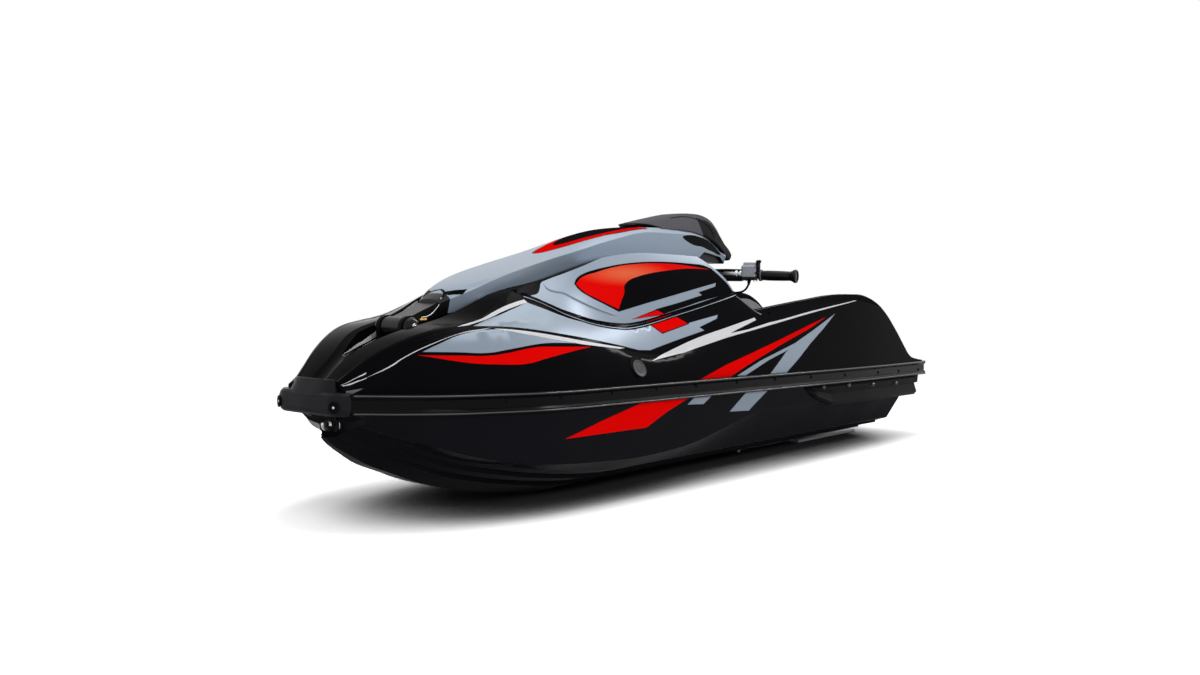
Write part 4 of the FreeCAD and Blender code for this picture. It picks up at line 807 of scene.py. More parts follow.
def area_lamp(name, place, aim_at, size, power, unseen_by):
    lamp = bpy.data.lights.new(name, "AREA")
    lamp.shape = "RECTANGLE"
    lamp.size, lamp.size_y = size
    lamp.energy = power
    holder = faced(place_in_scene(name, lamp), place, Vector(aim_at) - Vector(place))
    for rays in unseen_by:
        setattr(holder, rays, False)


def seen_directly(shader):
    """1 for rays from the camera, a reflection or glass, which see the plain white background."""
    path = shader.add("ShaderNodeLightPath").outputs
    seen = shader.maths("MAXIMUM", path["Is Camera Ray"], path["Is Glossy Ray"])
    return shader.maths("MAXIMUM", seen, path["Is Transmission Ray"])


def floor_finish(settings):
    """White with a painted shadow, darkest where the craft hides most of the room, and plain white far away."""
    made = bpy.data.materials.new("floor_white")
    made.use_nodes = True
    made.node_tree.nodes.clear()
    shader = Shader(made.node_tree)
    direct = shader.add("ShaderNodeLightPath").outputs["Is Camera Ray"]
    # Painted shadow: occlusion by the craft sets the floor's colour as the camera sees it
    open_share = shader.add("ShaderNodeAmbientOcclusion", {"Distance": settings.shadow_reach}, samples=SHADOW_SAMPLES)
    painted_shadow = shader.ramp(open_share.outputs["AO"], {"From Min": SHADOW_START, "From Max": SHADOW_END,
                                                 "To Min": FLOOR_SHADOW_DARK, "To Max": settings.floor_white})
    grey = shader.add("ShaderNodeCombineXYZ", {0: painted_shadow, 1: painted_shadow, 2: painted_shadow}).outputs[0]
    matt = shader.add("ShaderNodeBsdfDiffuse", {"Color": shader.mix(direct, FLOOR_BOUNCE, grey)})
    plain = shader.add("ShaderNodeEmission", {"Color": WHITE, "Strength": 1.0})
    distance = shader.add("ShaderNodeVectorMath", {0: shader.place()}, operation="LENGTH").outputs["Value"]
    far = shader.ramp(distance, {"From Min": settings.floor_clear * CLEAR_START, "From Max": settings.floor_clear})
    share = shader.maths("MULTIPLY", far, seen_directly(shader))
    mixed = shader.add("ShaderNodeMixShader", {0: share, 1: matt.outputs[0], 2: plain.outputs[0]})
    shader.add("ShaderNodeOutputMaterial", {"Surface": mixed.outputs[0]})
    return made


class CRAFT_OT_stage(bpy.types.Operator):
    """Add the camera, the floor, the lamps and the white background"""

    bl_idname = "craft.stage"
    bl_label = "Stage"

    def execute(self, context):
        settings = context.scene.craft_stage
        scene = context.scene
        scene.view_settings.view_transform = "Standard"
        lens = bpy.data.cameras.new("camera")
        lens.sensor_width = SENSOR_WIDTH
        lens.lens = settings.lens
        lens.shift_y = settings.shift
        way = Vector((-math.cos(settings.camera_turn), -math.sin(settings.camera_turn), 0))
        scene.camera = faced(place_in_scene("camera", lens), settings.camera_place, way)

        deselect()
        bpy.ops.mesh.primitive_circle_add(vertices=FLOOR_SIDES, radius=settings.floor_radius, fill_type="NGON",
                                          location=(0, 0, -FLOOR_DROP))
        floor = settle(bpy.context.object)
        floor.name = "floor"
        floor.data.materials.append(floor_finish(settings))

        room = bpy.data.worlds.new("room")
        scene.world = room
        room.use_nodes = True
        room.node_tree.nodes.clear()
        shader = Shader(room.node_tree)
        strength = shader.maths("ADD", shader.maths("MULTIPLY", seen_directly(shader), 1 - settings.room_light),
                                settings.room_light)
        white = shader.add("ShaderNodeBackground", {"Color": WHITE, "Strength": strength})
        shader.add("ShaderNodeOutputWorld", {"Surface": white.outputs[0]})
        for name, (place, aim_at, size, power, unseen_by) in LAMPS.items():
            area_lamp(name, place, aim_at, size, getattr(settings, power), unseen_by)
        return {"FINISHED"}


# Livery, in millimetres: a point in round brackets is a corner, and an outline bends through one in square brackets

DECK_SILVER = [
    [(979, 501), (881, 525), (768, 556), [741, 543], [687, 520], [616, 501], [534, 488], [463, 485], [400, 489],
     (346, 494), (231, 512), (165, 482), (7, 503), (18, 492), (116, 469), (97, 459), (231, 437), (372, 413),
     (425, 416), [520, 436], [634, 457], [742, 475], [852, 492], [905, 498]],
    [(1126, 442), [1098, 457], [1047, 479], [985, 491], (941, 493), [905, 486], [821, 470], (692, 448), [780, 453],
     [830, 453], [920, 444], [989, 436], [1062, 440]],
    [(4, 318), (-132, 355), (-353, 401), (-480, 438), (-650, 490), (-551, 442), (-451, 397), (-372, 355), (-281, 310),
     (-180, 310), (-286, 373), (-308, 382), (-181, 355), (-42, 316)],
]
DECK_WHITE = [
    [(1242, 382), [1185, 414], [1170, 425], [1109, 459], [1035, 485], (950, 496.5), (972, 493), [1043, 482.4],
     [1111, 456.4], [1170, 422.4], [1185, 411.4]],
    [(945, 495), [901, 491], [816, 479], [664, 453], (488, 425), (510, 424), (671, 444), [821, 469], [905, 485]],
    [(394, 384), [317, 400], [153, 436], (-15, 464), (-171, 490), (-174, 482), (-51, 453), (-24, 446), (-114, 454),
     (-236, 472), [-296, 478], [-496, 502], (-826, 534), (-823, 531), [-494, 496], (-293, 471), (2, 433), (221, 399)],
]
DECK_EDGE_WHITE = [(1019, 215), (885, 199), (766, 201), (766, 213), (874, 215), (985, 222)]
# Painted highlights: two thin white lines where the deck meets the bumper
BOW_HIGHLIGHT_LINES = [
    [(1288.6, 96), [1280.6, 103], [1261.6, 117], [1240, 132], (1239, 131), [1260.6, 116], [1279.6, 102],
     [1287.6, 95]],
    [(1288, 103), [1284, 107], [1263, 122], [1242, 137], (1241.4, 136), [1262.3, 121], [1283.3, 106], [1287.3, 102]],
]
GUNWALE_DARK = [(-222, 204), (-222, 320), (-1075, 320), (-1075, 204)]
# Painted highlight: a grey line along the top edge of the gunwale
GUNWALE_HIGHLIGHT = [(-222, 243), (-222, 246), (-1010, 246), (-1010, 243)]
# Painted highlight: a grey band just inside the step's edge at the front of the tray
STEP_EDGE = [(-108, 574), (-125, 563), (-136, 555), (-153, 540), (-170, 525), (-187, 513), (-214, 502)]
STEP_HIGHLIGHT_BAND = (4, -1)
# Painted highlight: a grey triangle on the corner of the bow
BOW_HIGHLIGHT_TRIANGLE = [(1290, 338), (1258, 358), (1290, 352)]
# Painted reflection: white lines along the top edges of the valley's inner walls, standing in for the lamp seen in
# the gloss black
VALLEY_REFLECTION = [
    [(1212, 427), (1098, 456), [1024, 488], [943, 523], [862, 558], (782, 585), (771, 577), (844, 554), [918, 517],
     [999, 484], [1079, 453]],
    [(1100, 443), [1043, 460], [974, 479], (966, 475), [1040, 454]],
]
# Black film in the hood's channel under the pole: partly the pod's black inner wall, partly painted shade of the gap
# between pole and pod
CHANNEL_BLACK_AND_SHADE = [(770, 100), (770, 194), (735, 193), [704, 191], [679, 176], [659, 161], [640, 159], [553, 176],
                [495, 184], (420, 172), (430, 100)]
HOOD_LEDGE = [(655, 166, 604), (655, 187, 589), (640, 198, 583), (618, 208, 579), (597, 226, 565), (569, 243, 550),
              (547, 252, 540), (517, 261, 529), (487, 268, 520), (461, 271, 513)]
LEDGE_RADIUS = 3.6
LEDGE_ENDS = 0.2
NOSE_CHEVRON = [
    [(906, 38), (895, 26), (884, 51), (868, 68), (857, 77), (875, 78), (901, 50)],
    [(914, 38), (906, 34), (895, 18), (887, 0.5), (882, 0.5), (889, 20), (901, 38), (912, 44)],
]
DECK_RED = [
    [(1138, 434), [1064, 432], [991, 429], [942, 433], [879, 442], [833, 445], [784, 443], (640, 436), [709, 430],
     [820, 416], [890, 405], [968, 407], [1037, 413]],
    [(205, 318), (50, 354), (-71, 377), (-264, 415), (-475, 459), (-580, 479), (-470, 447), (-256, 397), (-59, 346),
     (45, 316)],
]
SLASH_EDGE = 3.0
SLASH_DECK = [(346, 497), (231, 515), (165, 482), (293, 459)]
SLASH_HOOD = [(395, 502), (282, 524), (254, 512)]
HULL_RED = [(770, 204), (640, 237), (420, 284), (206, 284), (350, 238), (440, 201), (636, 203)]
HULL_SILVER = [
    [(255, 250), (200, 284), (108, 284), (176, 245)],
    [(30, 209), (-76, 284), (-205, 284), (-80, 202)],
]
POD_BLACK = [(567, 604), [551, 619], [525, 632], [491, 642], [440, 652], [385, 660], [308, 666], [218, 668],
             [130, 666], [55, 662], [0, 658], (-38, 647), [-68, 624], [-98, 597], (-115, 575), (-105, 570), (63, 546),
             (212, 520), (264, 511), (290, 527), (171, 545), (50, 565), (65, 574), (-29, 591), (-37, 602), (49, 589),
             (198, 566), (333, 544), (451, 524), [504, 549], [543, 570], [563, 588]]
POD_RED = [(562, 604), [535, 622], [485, 636], [404, 653], [316, 661], [221, 663], [120, 659], (-25, 645), [92, 647],
           [193, 641], [275, 633], [340, 622], [380, 610], [400, 596], [406, 580], [427, 556], (449, 531), [518, 562],
           [555, 586]]
SEAM = [(758, 578), (730, 564), (703, 548), (670, 531), (628, 517), (577, 502), (530, 493), (493, 488), (440, 484),
        (390, 486), (322, 494), (201, 514), (68, 535), (-128, 570)]
# Each strip along a line: how far it reaches below it and above it
SEAM_ON_HOOD = (4, 7)
SEAM_ON_DECK = (11, 0)
# Painted highlight: a thin silver line inside the deck's black seam band, standing in for the glint in the gap
SEAM_HIGHLIGHT = (7.4, -6)
FIELD_EDGE = 4.0
MITRE_LIMIT = 0.35
POLE_FIELD = [(516, 0), [509, 14], [486, 28], [440, 44], [380, 59], [300, 74], [200, 86], (100, 86), (100, -86),
              (200, -86), [300, -74], [380, -59], [440, -44], [486, -28], [509, -14]]
POLE_FIELD_DARK = [(430, 0), [405, 14], [352, 30], [270, 46], [190, 60], (110, 66), (110, -84), (203, -84),
                   [264, -76], [336, -62], [390, -40], [418, -20]]


def band(line, below, above):
    """A strip along a line, from below it to above it, with four corners."""
    low = [[x, z - below] for x, z in line]
    high = [[x, z + above] for x, z in reversed(line)]
    return [tuple(low[0]), *low[1:], tuple(high[0]), *high[1:]]


def grown(outline, by):
    """The outline moved outwards by a distance, for the dark edge round a coloured field."""
    points = [Vector(point) for point in outline]
    area = sum(a.x * b.y - b.x * a.y for a, b in zip(points, points[1:] + points[:1]))
    turn = 1 if area > 0 else -1
    moved = []
    for number, point in enumerate(points):
        before = (point - points[number - 1]).normalized()
        after = (points[(number + 1) % len(points)] - point).normalized()
        out = Vector((before.y + after.y, -before.x - after.x)) * turn
        reach = by / max(MITRE_LIMIT, out.length / 2) if out.length > 1e-6 else by
        kind = type(outline[number])
        moved.append(kind(point + out.normalized() * reach))
    return moved


class CRAFT_OT_deck_livery(bpy.types.Operator):
    """Lay the silver, white, red and black films on the deck, and the grey and white films that paint highlights and
    reflections
    """

    bl_idname = "craft.deck_livery"
    bl_label = "Deck livery"

    def execute(self, context):
        lay_films("deck", [("deck_silver", DECK_SILVER, "paint_silver", "pod", 0)])
        lay_films("deck", [
            ("deck_white", DECK_WHITE, "paint_white", "side", 0),
            ("deck_dark", [grown(SLASH_DECK, SLASH_EDGE)], "paint_black", "pod", 1),
            ("deck_edge_white", [DECK_EDGE_WHITE], "paint_white", "plan", 0),
            # Painted reflection on the valley walls
            ("valley_white", VALLEY_REFLECTION, "paint_white", "inner", 0),
            # Painted highlights at the bow
            ("bow_lines", BOW_HIGHLIGHT_LINES, "paint_white", "bow", 0),
            ("gunwale_dark", [GUNWALE_DARK], "satin_dark", "plan", 0),
            # Painted highlight on the step's edge
            ("edge_lines", [band(STEP_EDGE, *STEP_HIGHLIGHT_BAND)], "corner_grey", "side", 1),
            # Painted highlight on the gunwale's edge
            ("gunwale_lines", [GUNWALE_HIGHLIGHT], "corner_grey", "plan", 1),
            # Painted highlight on the bow's corner
            ("bow_corner", [BOW_HIGHLIGHT_TRIANGLE], "corner_grey", "side", 0),
            ("deck_red", DECK_RED, "paint_red", "side", 0),
            ("deck_slash", [SLASH_DECK], "paint_red", "pod", 2),
        ])
        return {"FINISHED"}


class CRAFT_OT_hood_livery(bpy.types.Operator):
    """Lay the black side field, its red flash with a painted highlight, the dark seam with a painted highlight line,
    and the black film with painted shade in the channel under the pole on the hood
    """

    bl_idname = "craft.hood_livery"
    bl_label = "Hood livery"

    def execute(self, context):
        make_flash_with_highlight()
        lay_films("engine_hood", [
            ("hood_dark", [POD_BLACK, grown(SLASH_HOOD, SLASH_EDGE)], "paint_black", "pod", 0),
            # Black inner wall and painted shade in the channel under the pole
            ("hood_channel", [CHANNEL_BLACK_AND_SHADE], "paint_black", "plan", 0),
            ("hood_red", [POD_RED, SLASH_HOOD], "paint_flash", "pod", 1),
            ("hood_seam", [band(SEAM, *SEAM_ON_HOOD)], "paint_black", "pod", 2),
        ])
        lay_films("deck", [("deck_seam", [band(SEAM, *SEAM_ON_DECK)], "paint_black", "pod", 3)])
        line = laid_on(skin_of("engine_hood")[1], HOOD_LEDGE)
        fit_beads("hood_ledge", [line], LEDGE_RADIUS, "paint_silver", ends=LEDGE_ENDS)
        # Painted highlight in the seam
        lay_films("deck", [("seam_line", [band(SEAM, *SEAM_HIGHLIGHT)], "paint_silver", "pod", 4)])
        return {"FINISHED"}


class CRAFT_OT_hull_livery(bpy.types.Operator):
    """Carry the stripes over the rail on to the hull"""

    bl_idname = "craft.hull_livery"
    bl_label = "Hull livery"

    def execute(self, context):
        lay_films("hull", [
            ("hull_red", [HULL_RED], "paint_red", "side", 0),
            ("hull_silver", HULL_SILVER, "paint_silver", "side", 0),
        ])
        return {"FINISHED"}


class CRAFT_OT_pole_livery(bpy.types.Operator):
    """Lay the red and black field on top of the handle pole"""

    bl_idname = "craft.pole_livery"
    bl_label = "Pole livery"

    def execute(self, context):
        lay_films("handle_pole", [
            ("pole_dark", [grown(POLE_FIELD, FIELD_EDGE)], "paint_black", "plan", 0),
            ("pole_red", [POLE_FIELD], "paint_red", "plan", 1),
            ("pole_top_dark", [POLE_FIELD_DARK], "satin_dark", "plan", 2),
        ], POLE, both=False)
        lay_films("handle_pole", [("pole_chevron", NOSE_CHEVRON, "paint_black", "plan", 0)], POLE)
        return {"FINISHED"}


# Cables, controls and grips. CABLE is in metres, and the rest in millimetres

CABLE = ((-0.312, 0.200, 0.608), (-0.311, 0.196, 0.574), (-0.304, 0.140, 0.562), (-0.294, 0.078, 0.585),
         (-0.292, 0.0345, 0.609))
CABLE_WIDTH = 0.007
BOOT = [(6.6, 0), (6.8, 2.5), (6.0, 4), (6.0, 6), (5.2, 7), (5.2, 9), (4.6, 10), (4.6, 12), (4.1, 13), (3.9, 17)]
BOOT_WAY = (0.03, -0.12, -1)
BAR_KINK = Vector((-292, 105, 628))
BAR_WAY = Vector((-0.2434, 0.9697, -0.0236))
BAR_FRONT = Vector((0.9697, 0.2434, 0))
BAR_UP = Vector((0, 0.0243, 0.9997))
BAR_TURN = math.radians(14.09)
GRIP_START = 132.7
GRIP_ANGLE = 30
GRIP = [(10, 0), (18, 0), (19.4, 1), (19.6, 3.5), (18.4, 5), (16.6, 7.5), (16.0, 10), (15.4, 10.6), (15.4, 12),
        (16.2, 12.6), (16.2, 15), (15.5, 15.6), (15.5, 17), (16.4, 17.6), (16.9, 30), (16.8, 60), (16.3, 88),
        (15.9, 100), (15.2, 100.6), (15.2, 102), (15.9, 102.6), (15.9, 105), (15.2, 105.6), (15.2, 107),
        (16.0, 107.8), (17.4, 113), (20.6, 118.5), (22.3, 121.5), (22.6, 125), (21.9, 128.6), (20.4, 129.8),
        (18.6, 129.4), (17.0, 126.5), (9.0, 125.6), (7.6, 127.2), (3, 127.6)]
# Painted highlight: a grey ring on the rounding of each grip's inner flange
GRIP_HIGHLIGHT_RING = [(14, 0), (18.9, 0), (19.4, 0.8), (19.2, 2.6), (18.0, 3.6), (14, 3.8)]
CLIP = [(9, 0), (14.6, 0), (15.2, 0.8), (15.2, 7.2), (14.6, 8), (9, 8)]
KNOB = [(4.6, 0), (5.2, 1), (5.2, 7), (4.2, 9), (2, 9.6)]
BUTTON = [(8.2, -1), (8.2, 2), (7.4, 2.8), (6.6, 2.8), (6.4, 1.6), (5.6, 1.6), (5.6, 3.8), (4.8, 4.8), (2, 5)]
SCREW = [(3.4, -1), (3.6, 0.4), (3.2, 1.6), (2.2, 2.1), (1.6, 2.1), (1.5, 0.9), (0.5, 0.9)]
HOSE_RADIUS = 4.2


def on_arm(reach, front=0.0, rise=0.0):
    """A place along the port arm of the handlebar, in millimetres from its kink."""
    return BAR_KINK + BAR_WAY * reach + BAR_FRONT * front + BAR_UP * rise


# Each block: its place, its size, its bevel, the shares by which its top is drawn in, and its turn
ARM_COVER = (on_arm(34, 0, -14), (25, 78, 17), 5, (1, 1), BAR_TURN)
MIDDLE_COVER = ((-292, 70, 614), (25, 72, 17), 5)
MOUND = ((-292, 0, 641), (46, 216, 30), 6, (0.72, 0.3))
LID = (on_arm(99.5, -1.5, 36), (37, 51, 14), 4.5, (0.76, 0.88), BAR_TURN)
PLATE = (on_arm(128.7, 1, 17), (30, 6.6, 52), 2.6, (0.8, 1), BAR_TURN)
HOSE = [(-292, 60, 642), (-292, 98, 642.5), on_arm(12, 0, 15), on_arm(40, 0, 15), on_arm(74, -2, 15)]
KNOB_SPOTS = [(on_arm(128, 9, 41), (0.3, 0.1, 1)), (on_arm(128, -8, 42), (-0.3, 0.1, 1)),
              (on_arm(131, 16, 26), (0.8, 0.5, 0.4)), (on_arm(130, 17, 8), (1, 0.3, 0))]
CLIP_SPOTS = [(on_arm(reach), BAR_WAY) for reach in (48, 64)]
GRIP_HIGHLIGHT_SPOTS = [(on_arm(GRIP_START + 5.6), BAR_WAY)]
BUTTON_SPOTS = [(on_arm(reach, -21, 16), -BAR_FRONT) for reach in (88, 108)]
SCREW_SPOTS = [(on_arm(reach, front, -17.6), (0, 0, -1)) for front in (14, -14) for reach in (80, 118)]


class CRAFT_OT_cables(bpy.types.Operator):
    """Run one control cable to each side of the bar clamp"""

    bl_idname = "craft.cables"
    bl_label = "Cables"

    def execute(self, context):
        for node, side in (("switch_cable", 1), ("throttle_cable", -1)):
            curve = tube(node + "_line", CABLE_WIDTH / 2, 5, 12)
            spline = curve.splines.new("NURBS")
            spline.points.add(len(CABLE) - 1)
            for knot, (x, y, z) in zip(spline.points, CABLE):
                knot.co = (x, y * side, z, 1)
            spline.order_u = 3
            spline.use_endpoint_u = True
            cable = place_in_scene(node + "_line", curve)
            curve.materials.append(finish("rubber_black"))
            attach(cable, BARS)
            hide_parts(node)
            x, y, z = CABLE[0]
        x, y, z = (part / MM for part in CABLE[0])
        fit("cable_boots", BOOT, 20, [((x, y, z + 1), BOOT_WAY)], "rubber_black", BARS)
        return {"FINISHED"}


class CRAFT_OT_controls(bpy.types.Operator):
    """Model the grips, covers, buttons and brackets on the handlebar"""

    bl_idname = "craft.controls"
    bl_label = "Controls"

    def execute(self, context):
        grip = aim(turned("grip_port_rubber", GRIP, 40), on_arm(GRIP_START), BAR_WAY)
        other = mirror_over(smooth(grip, GRIP_ANGLE))
        other.name = "grip_starboard_rubber"
        for piece, node in ((grip, "grip_port"), (other, "grip_starboard")):
            finish_piece(piece, "grip_rubber", BARS)
            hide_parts(node)

        covers = both_sides("bar_under_covers", block("cover", *ARM_COVER), block("cover", *MIDDLE_COVER))
        finish_piece(covers, "plastic_black", BARS)
        finish_piece(block("bar_mound", *MOUND), "plastic_black", BARS)
        fit_beads("bar_hoses", [HOSE], HOSE_RADIUS, "rubber_black", BARS)
        fit("bar_clips", CLIP, 32, CLIP_SPOTS, "steel", BARS)
        # Painted highlights on the grips' flanges
        fit("grip_collars", GRIP_HIGHLIGHT_RING, 36, GRIP_HIGHLIGHT_SPOTS, "corner_grey", BARS)

        finish_piece(block("switch_lid", *LID), "housing_grey", BARS)
        bracket = join("switch_bracket", block("plate", *PLATE),
                       copies("knobs", turned("knob", KNOB, 20), KNOB_SPOTS, False))
        finish_piece(bracket, "plastic_black", BARS)
        fit("switch_buttons", BUTTON, 24, BUTTON_SPOTS, "paint_red", BARS, False)
        fit("housing_screws", SCREW, 20, SCREW_SPOTS, "steel", BARS)
        return {"FINISHED"}


# Pad on the pole

PAD_CREASE = [(-60, 62, 824), (-124, 63, 823), (-182, 73, 817), (-237, 79, 801), (-261, 85, 781), (-270, 92, 755)]
CREASE_RADIUS = 1.7
PAD_VOXEL = 0.005
PAD_INSET = -0.003
PAD_SWELL = 0.007
PAD_PRESSURE = 4.0
PAD_HOLD = 0.02
PAD_FRAMES = 20
PAD_SMOOTHING = 6
PAD_NOSE = 0.168
PAD_NOSE_BACK = 0.068
PAD_TAIL = -0.16
PAD_TAIL_REACH = 0.17
PAD_TAIL_SLIM = 0.014
PAD_SLIM_FLOOR = 0.70
PAD_SLIM_RISE = 0.08
POLE_SLOPE = 0.21


def eased(share):
    """0 to 1 with soft ends."""
    share = min(1.0, max(0.0, share))
    return share * share * (3 - 2 * share)


def fitted_pad(place):
    """The pad's nose lies further back along the pole and its tail is slimmer, as in the photograph."""
    back = eased(place.x / PAD_NOSE) * PAD_NOSE_BACK
    slim = eased((PAD_TAIL - place.x) / PAD_TAIL_REACH) * eased((place.z - PAD_SLIM_FLOOR) / PAD_SLIM_RISE)
    slim *= PAD_TAIL_SLIM
    return Vector((place.x - back + slim, place.y, place.z + back * POLE_SLOPE - slim * 0.5))


class CRAFT_OT_pad(bpy.types.Operator):
    """Pad the top of the pole: a swollen skin with a sewn crease on each side"""

    bl_idname = "craft.pad"
    bl_label = "Pad"

    def execute(self, context):
        pad = place_in_scene("pad_skin", skin_of("chin_pad")[0].data.copy())
        modify(pad, "REMESH", mode="VOXEL", voxel_size=PAD_VOXEL)
        edit(pad)
        bpy.ops.transform.shrink_fatten(value=PAD_INSET)
        bpy.ops.object.mode_set(mode="OBJECT")
        for vertex in pad.data.vertices:
            vertex.co = fitted_pad(vertex.co)
        self.swell(context.scene, pad)
        modify(pad, "SMOOTH", factor=0.5, iterations=PAD_SMOOTHING)
        modify(pad, "SUBSURF", levels=1)
        finish_piece(smooth(pad, ROUND_ANGLE), "pad_grey", POLE)
        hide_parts("chin_pad")
        line = laid_on(surface_tree(pad.data), PAD_CREASE)
        fit_beads("pad_crease", [line], CREASE_RADIUS, "rubber_black", POLE)
        return {"FINISHED"}

    def swell(self, scene, pad):
        """Cloth under pressure, held where it lies on the pole."""
        pole = skin_of("handle_pole")[1]
        start = [vertex.co.copy() for vertex in pad.data.vertices]
        held = [number for number, place in enumerate(start) if pole.find_nearest(place, PAD_HOLD)[0] is not None]
        pad.vertex_groups.new(name="held").add(held, 1.0, "REPLACE")
        cloth = pad.modifiers.new("Cloth", "CLOTH")
        cloth.settings.use_pressure = True
        cloth.settings.uniform_pressure_force = PAD_PRESSURE
        cloth.settings.vertex_group_mass = "held"
        cloth.settings.effector_weights.gravity = 0.0
        for number in range(1, PAD_FRAMES + 1):
            scene.frame_set(number)
        pick(pad)
        bpy.ops.object.modifier_apply(modifier=cloth.name)
        for vertex, place in zip(pad.data.vertices, start):
            move = vertex.co - place
            if move.length > PAD_SWELL:
                vertex.co = place + move.normalized() * PAD_SWELL
        scene.frame_set(1)


# Pivot, fasteners, rings and bow fittings, in millimetres

DOME = [(22, 0), (25, 0.6), (26, 2), (26, 5), (25.2, 8), (23, 10.8), (19, 13.4), (13, 15.4), (6, 16.4), (1, 16.6)]
WASHER = [(9, 0), (9, 1.6), (8, 2.4), (5, 2.4), (4.6, 5.4), (3.6, 6.2), (1, 6.4)]
PIVOT_WAY = (0, 1, 0.12)
# Painted highlight: a steel bead along the edge of the pole's nose, standing in for the glint there
NOSE_HIGHLIGHT_LINE = [(983, 34, 517), (965, 34, 519), (948, 34, 525), (934, 36, 536), (925, 38, 548), (916, 38, 568)]
NOSE_HIGHLIGHT_RADIUS = 1.9
FITTING = [(4, 0), (6.5, 0), (6.5, 5), (5, 6), (5, 12), (6, 13), (6, 18), (3, 19)]
FITTING_SPOT = ((986, 35, 510), (-0.55, 0.75, 0.1))
RIVET = [(5.6, -0.6), (5.6, 0.5), (4.6, 0.8), (4.2, 1.6), (3.2, 2.3), (1.8, 2.7), (0.6, 2.8)]
BOLT = [(8.5, -1), (8.5, 1.2), (7.8, 1.9), (6.4, 1.9), (6.2, 5.2), (5.4, 6.2), (3.3, 6.2), (3.1, 2.6), (0.8, 2.4)]
NOZZLE_BOLT = [(8, -1), (8, 0.6), (8, 5.0), (7.2, 6.0), (3.4, 6.0), (3.2, 5.2), (1, 5.2)]
CUP = [(15, -1), (15, 1.4), (13.6, 2.4), (12, 2.2), (10.8, 0.6), (8, 0.3)]
RING = [(20, -1), (25.5, -1), (25.5, 1.6), (24.6, 2.4), (22.6, 2.4), (21.8, 1.4), (20.5, 1.2), (19.6, 1.0),
        (13, 1.0), (12.4, 1.8), (9, 2.0), (8.4, 0.8), (2, 0.8)]
DISH = [(24, -6), (24, 0.8), (22.4, 1.4), (20, 0.2), (12, -1.0)]
RIM = [(23.6, -2), (25.4, -2), (25.8, 0.6), (25.0, 2.0), (23.8, 2.2), (23.0, 1.2)]
RIVETS = [(961, 317), (803, 315), (605, 311), (411, 308), (226, 304), (15, 300), (-199, 293), (-424, 285),
          (-656, 276), (-911, 268), (-1090, 262), (-1273, 255)]
RAIL_BEAD_X = (1281, 1260, 1200, 1100, 1000, 800, 600, 400, 200, 0, -300, -600, -900, -1200, -1310)
# Each bead along the rail: its height amidships, and its rise towards the bow
RAIL_BEADS = [(312, 0.0217), (268.5, 0.022)]
RAIL_BEAD_RADIUS = 2.4
# Where the rays that find the fittings' seats start
STERN_START = -1400
NOZZLE_START = (-1186, 0, 400)
CUP_START = (1400, 112, 314)
OUTLET_START = (470, 600, 373)
DISH_START = (1400, 1, 257)
EYE_BOLTS = [(134, 126), (166, 126), (134, 174), (166, 174)]
SPONSON_BOLTS = [(-512, 245), (-688, 239), (-867, 229), (-1070, 218)]


class CRAFT_OT_pivot(bpy.types.Operator):
    """Cap the pole's pivot, lay a steel bead as a painted highlight along the pole's nose, and fit the hose fitting
    """

    bl_idname = "craft.pivot"
    bl_label = "Pivot"

    def execute(self, context):
        fit("pivot_domes", DOME, 48, [((1035, 54, 494), PIVOT_WAY)], "dome_black")
        fit("pivot_washers", WASHER, 6, [((1035, 69.5, 496), PIVOT_WAY)], "steel")
        line = laid_on(skin_of("handle_pole")[1], NOSE_HIGHLIGHT_LINE)
        fit_beads("pole_nose_trim", [line], NOSE_HIGHLIGHT_RADIUS, "steel", POLE)
        fit("hose_fittings", FITTING, 24, [FITTING_SPOT], "brass", POLE)
        return {"FINISHED"}


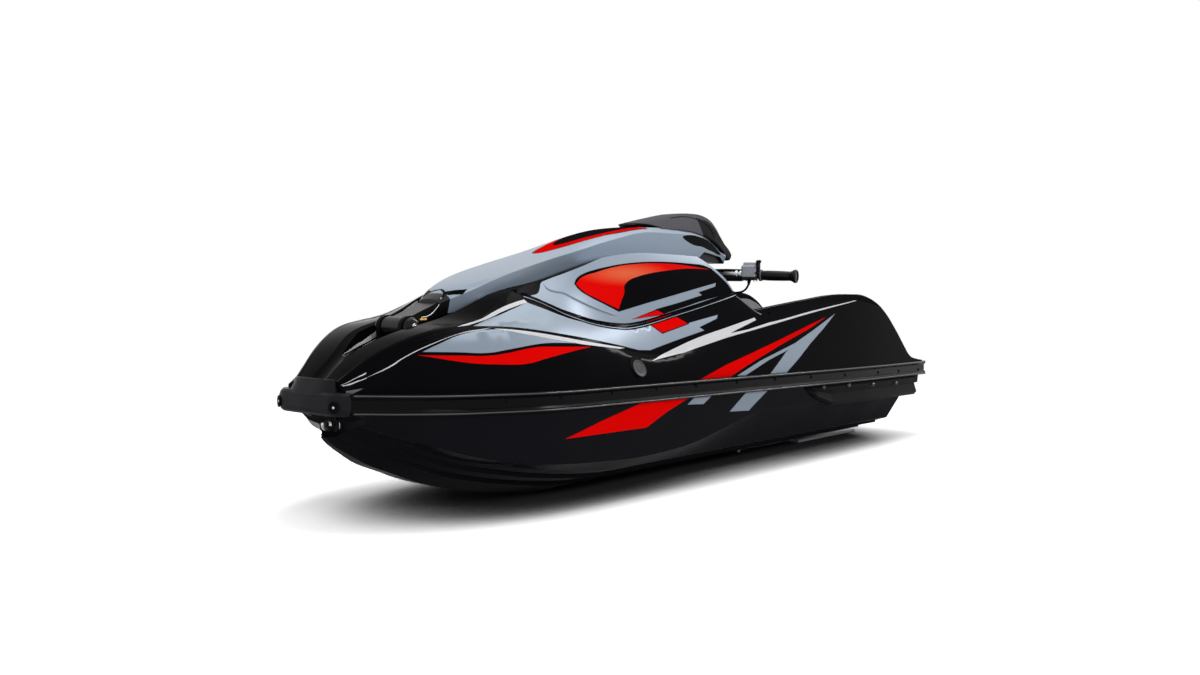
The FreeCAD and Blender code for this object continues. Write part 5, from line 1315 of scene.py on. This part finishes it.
class CRAFT_OT_fasteners(bpy.types.Operator):
    """Set the rivets, bolts, rings and the fittings at the bow"""

    bl_idname = "craft.fasteners"
    bl_label = "Fasteners"

    def execute(self, context):
        fit("rail_rivets", RIVET, 20, from_port("rub_rail_port", RIVETS), "rubber_black")
        lines = [[place for place, _ in from_port("rub_rail_port", [(x, low + rise * x) for x in RAIL_BEAD_X])]
                 for low, rise in RAIL_BEADS]
        fit_beads("rail_beads", lines, RAIL_BEAD_RADIUS, "bead_rubber")
        spots = [spot_on("stern_eye", (STERN_START, y, z), (1, 0, 0)) for y, z in EYE_BOLTS]
        fit("stern_eye_bolts", SCREW, 24, spots, "steel")
        spots = [spot_on("pump_housing", NOZZLE_START, (0, 0, -1))]
        fit("nozzle_bolt", NOZZLE_BOLT, 6, spots, "steel", both=False)
        fit("sponson_bolts", BOLT, 24, from_port("sponson_port", SPONSON_BOLTS), "bolt_steel")
        spots = [spot_on("bow_bumper", CUP_START, (-1, 0, 0))]
        fit("bumper_cups", CUP, 36, spots, "rubber_black")
        fit("bumper_bolts", SCREW, 24, spots, "steel")
        spots = [spot_on("outlet_cap_port", OUTLET_START, (0, -1, -0.02))]
        fit("outlet_rings", RING, 40, spots, "ring_grey")
        spots = [spot_on("hull", DISH_START, (-1, 0, 0))]
        fit("eye_dish", DISH, 40, spots, "plastic_black", both=False)
        fit("eye_rim", RIM, 48, spots, "steel", both=False)
        return {"FINISHED"}


OPERATORS = (CRAFT_OT_stage, CRAFT_OT_cables, CRAFT_OT_finishes, CRAFT_OT_deck_livery, CRAFT_OT_hood_livery,
             CRAFT_OT_hull_livery, CRAFT_OT_pole_livery, CRAFT_OT_pad, CRAFT_OT_controls, CRAFT_OT_pivot,
             CRAFT_OT_fasteners)


class CRAFT_PT_panel(bpy.types.Panel):
    """Lists the steps that dress the craft"""

    bl_label = "Watercraft"
    bl_idname = "CRAFT_PT_panel"
    bl_space_type = "VIEW_3D"
    bl_region_type = "UI"
    bl_category = "Watercraft"

    def draw(self, context):
        for operator in OPERATORS:
            self.layout.operator(operator.bl_idname)


CLASSES = (StageSettings, PaintSettings, TrimSettings, *OPERATORS, CRAFT_PT_panel)
SETTINGS = {"craft_stage": StageSettings, "craft_paint": PaintSettings, "craft_trim": TrimSettings}


def register():
    for item in CLASSES:
        bpy.utils.register_class(item)
    for name, item in SETTINGS.items():
        setattr(bpy.types.Scene, name, PointerProperty(type=item))


def unregister():
    for name in SETTINGS:
        delattr(bpy.types.Scene, name)
    for item in reversed(CLASSES):
        bpy.utils.unregister_class(item)


def main():
    register()
    for operator in OPERATORS:
        family, name = operator.bl_idname.split(".")
        getattr(getattr(bpy.ops, family), name)()
    for skin, _ in SKINS.values():
        bpy.data.objects.remove(skin)


if __name__ == "__main__":
    main()
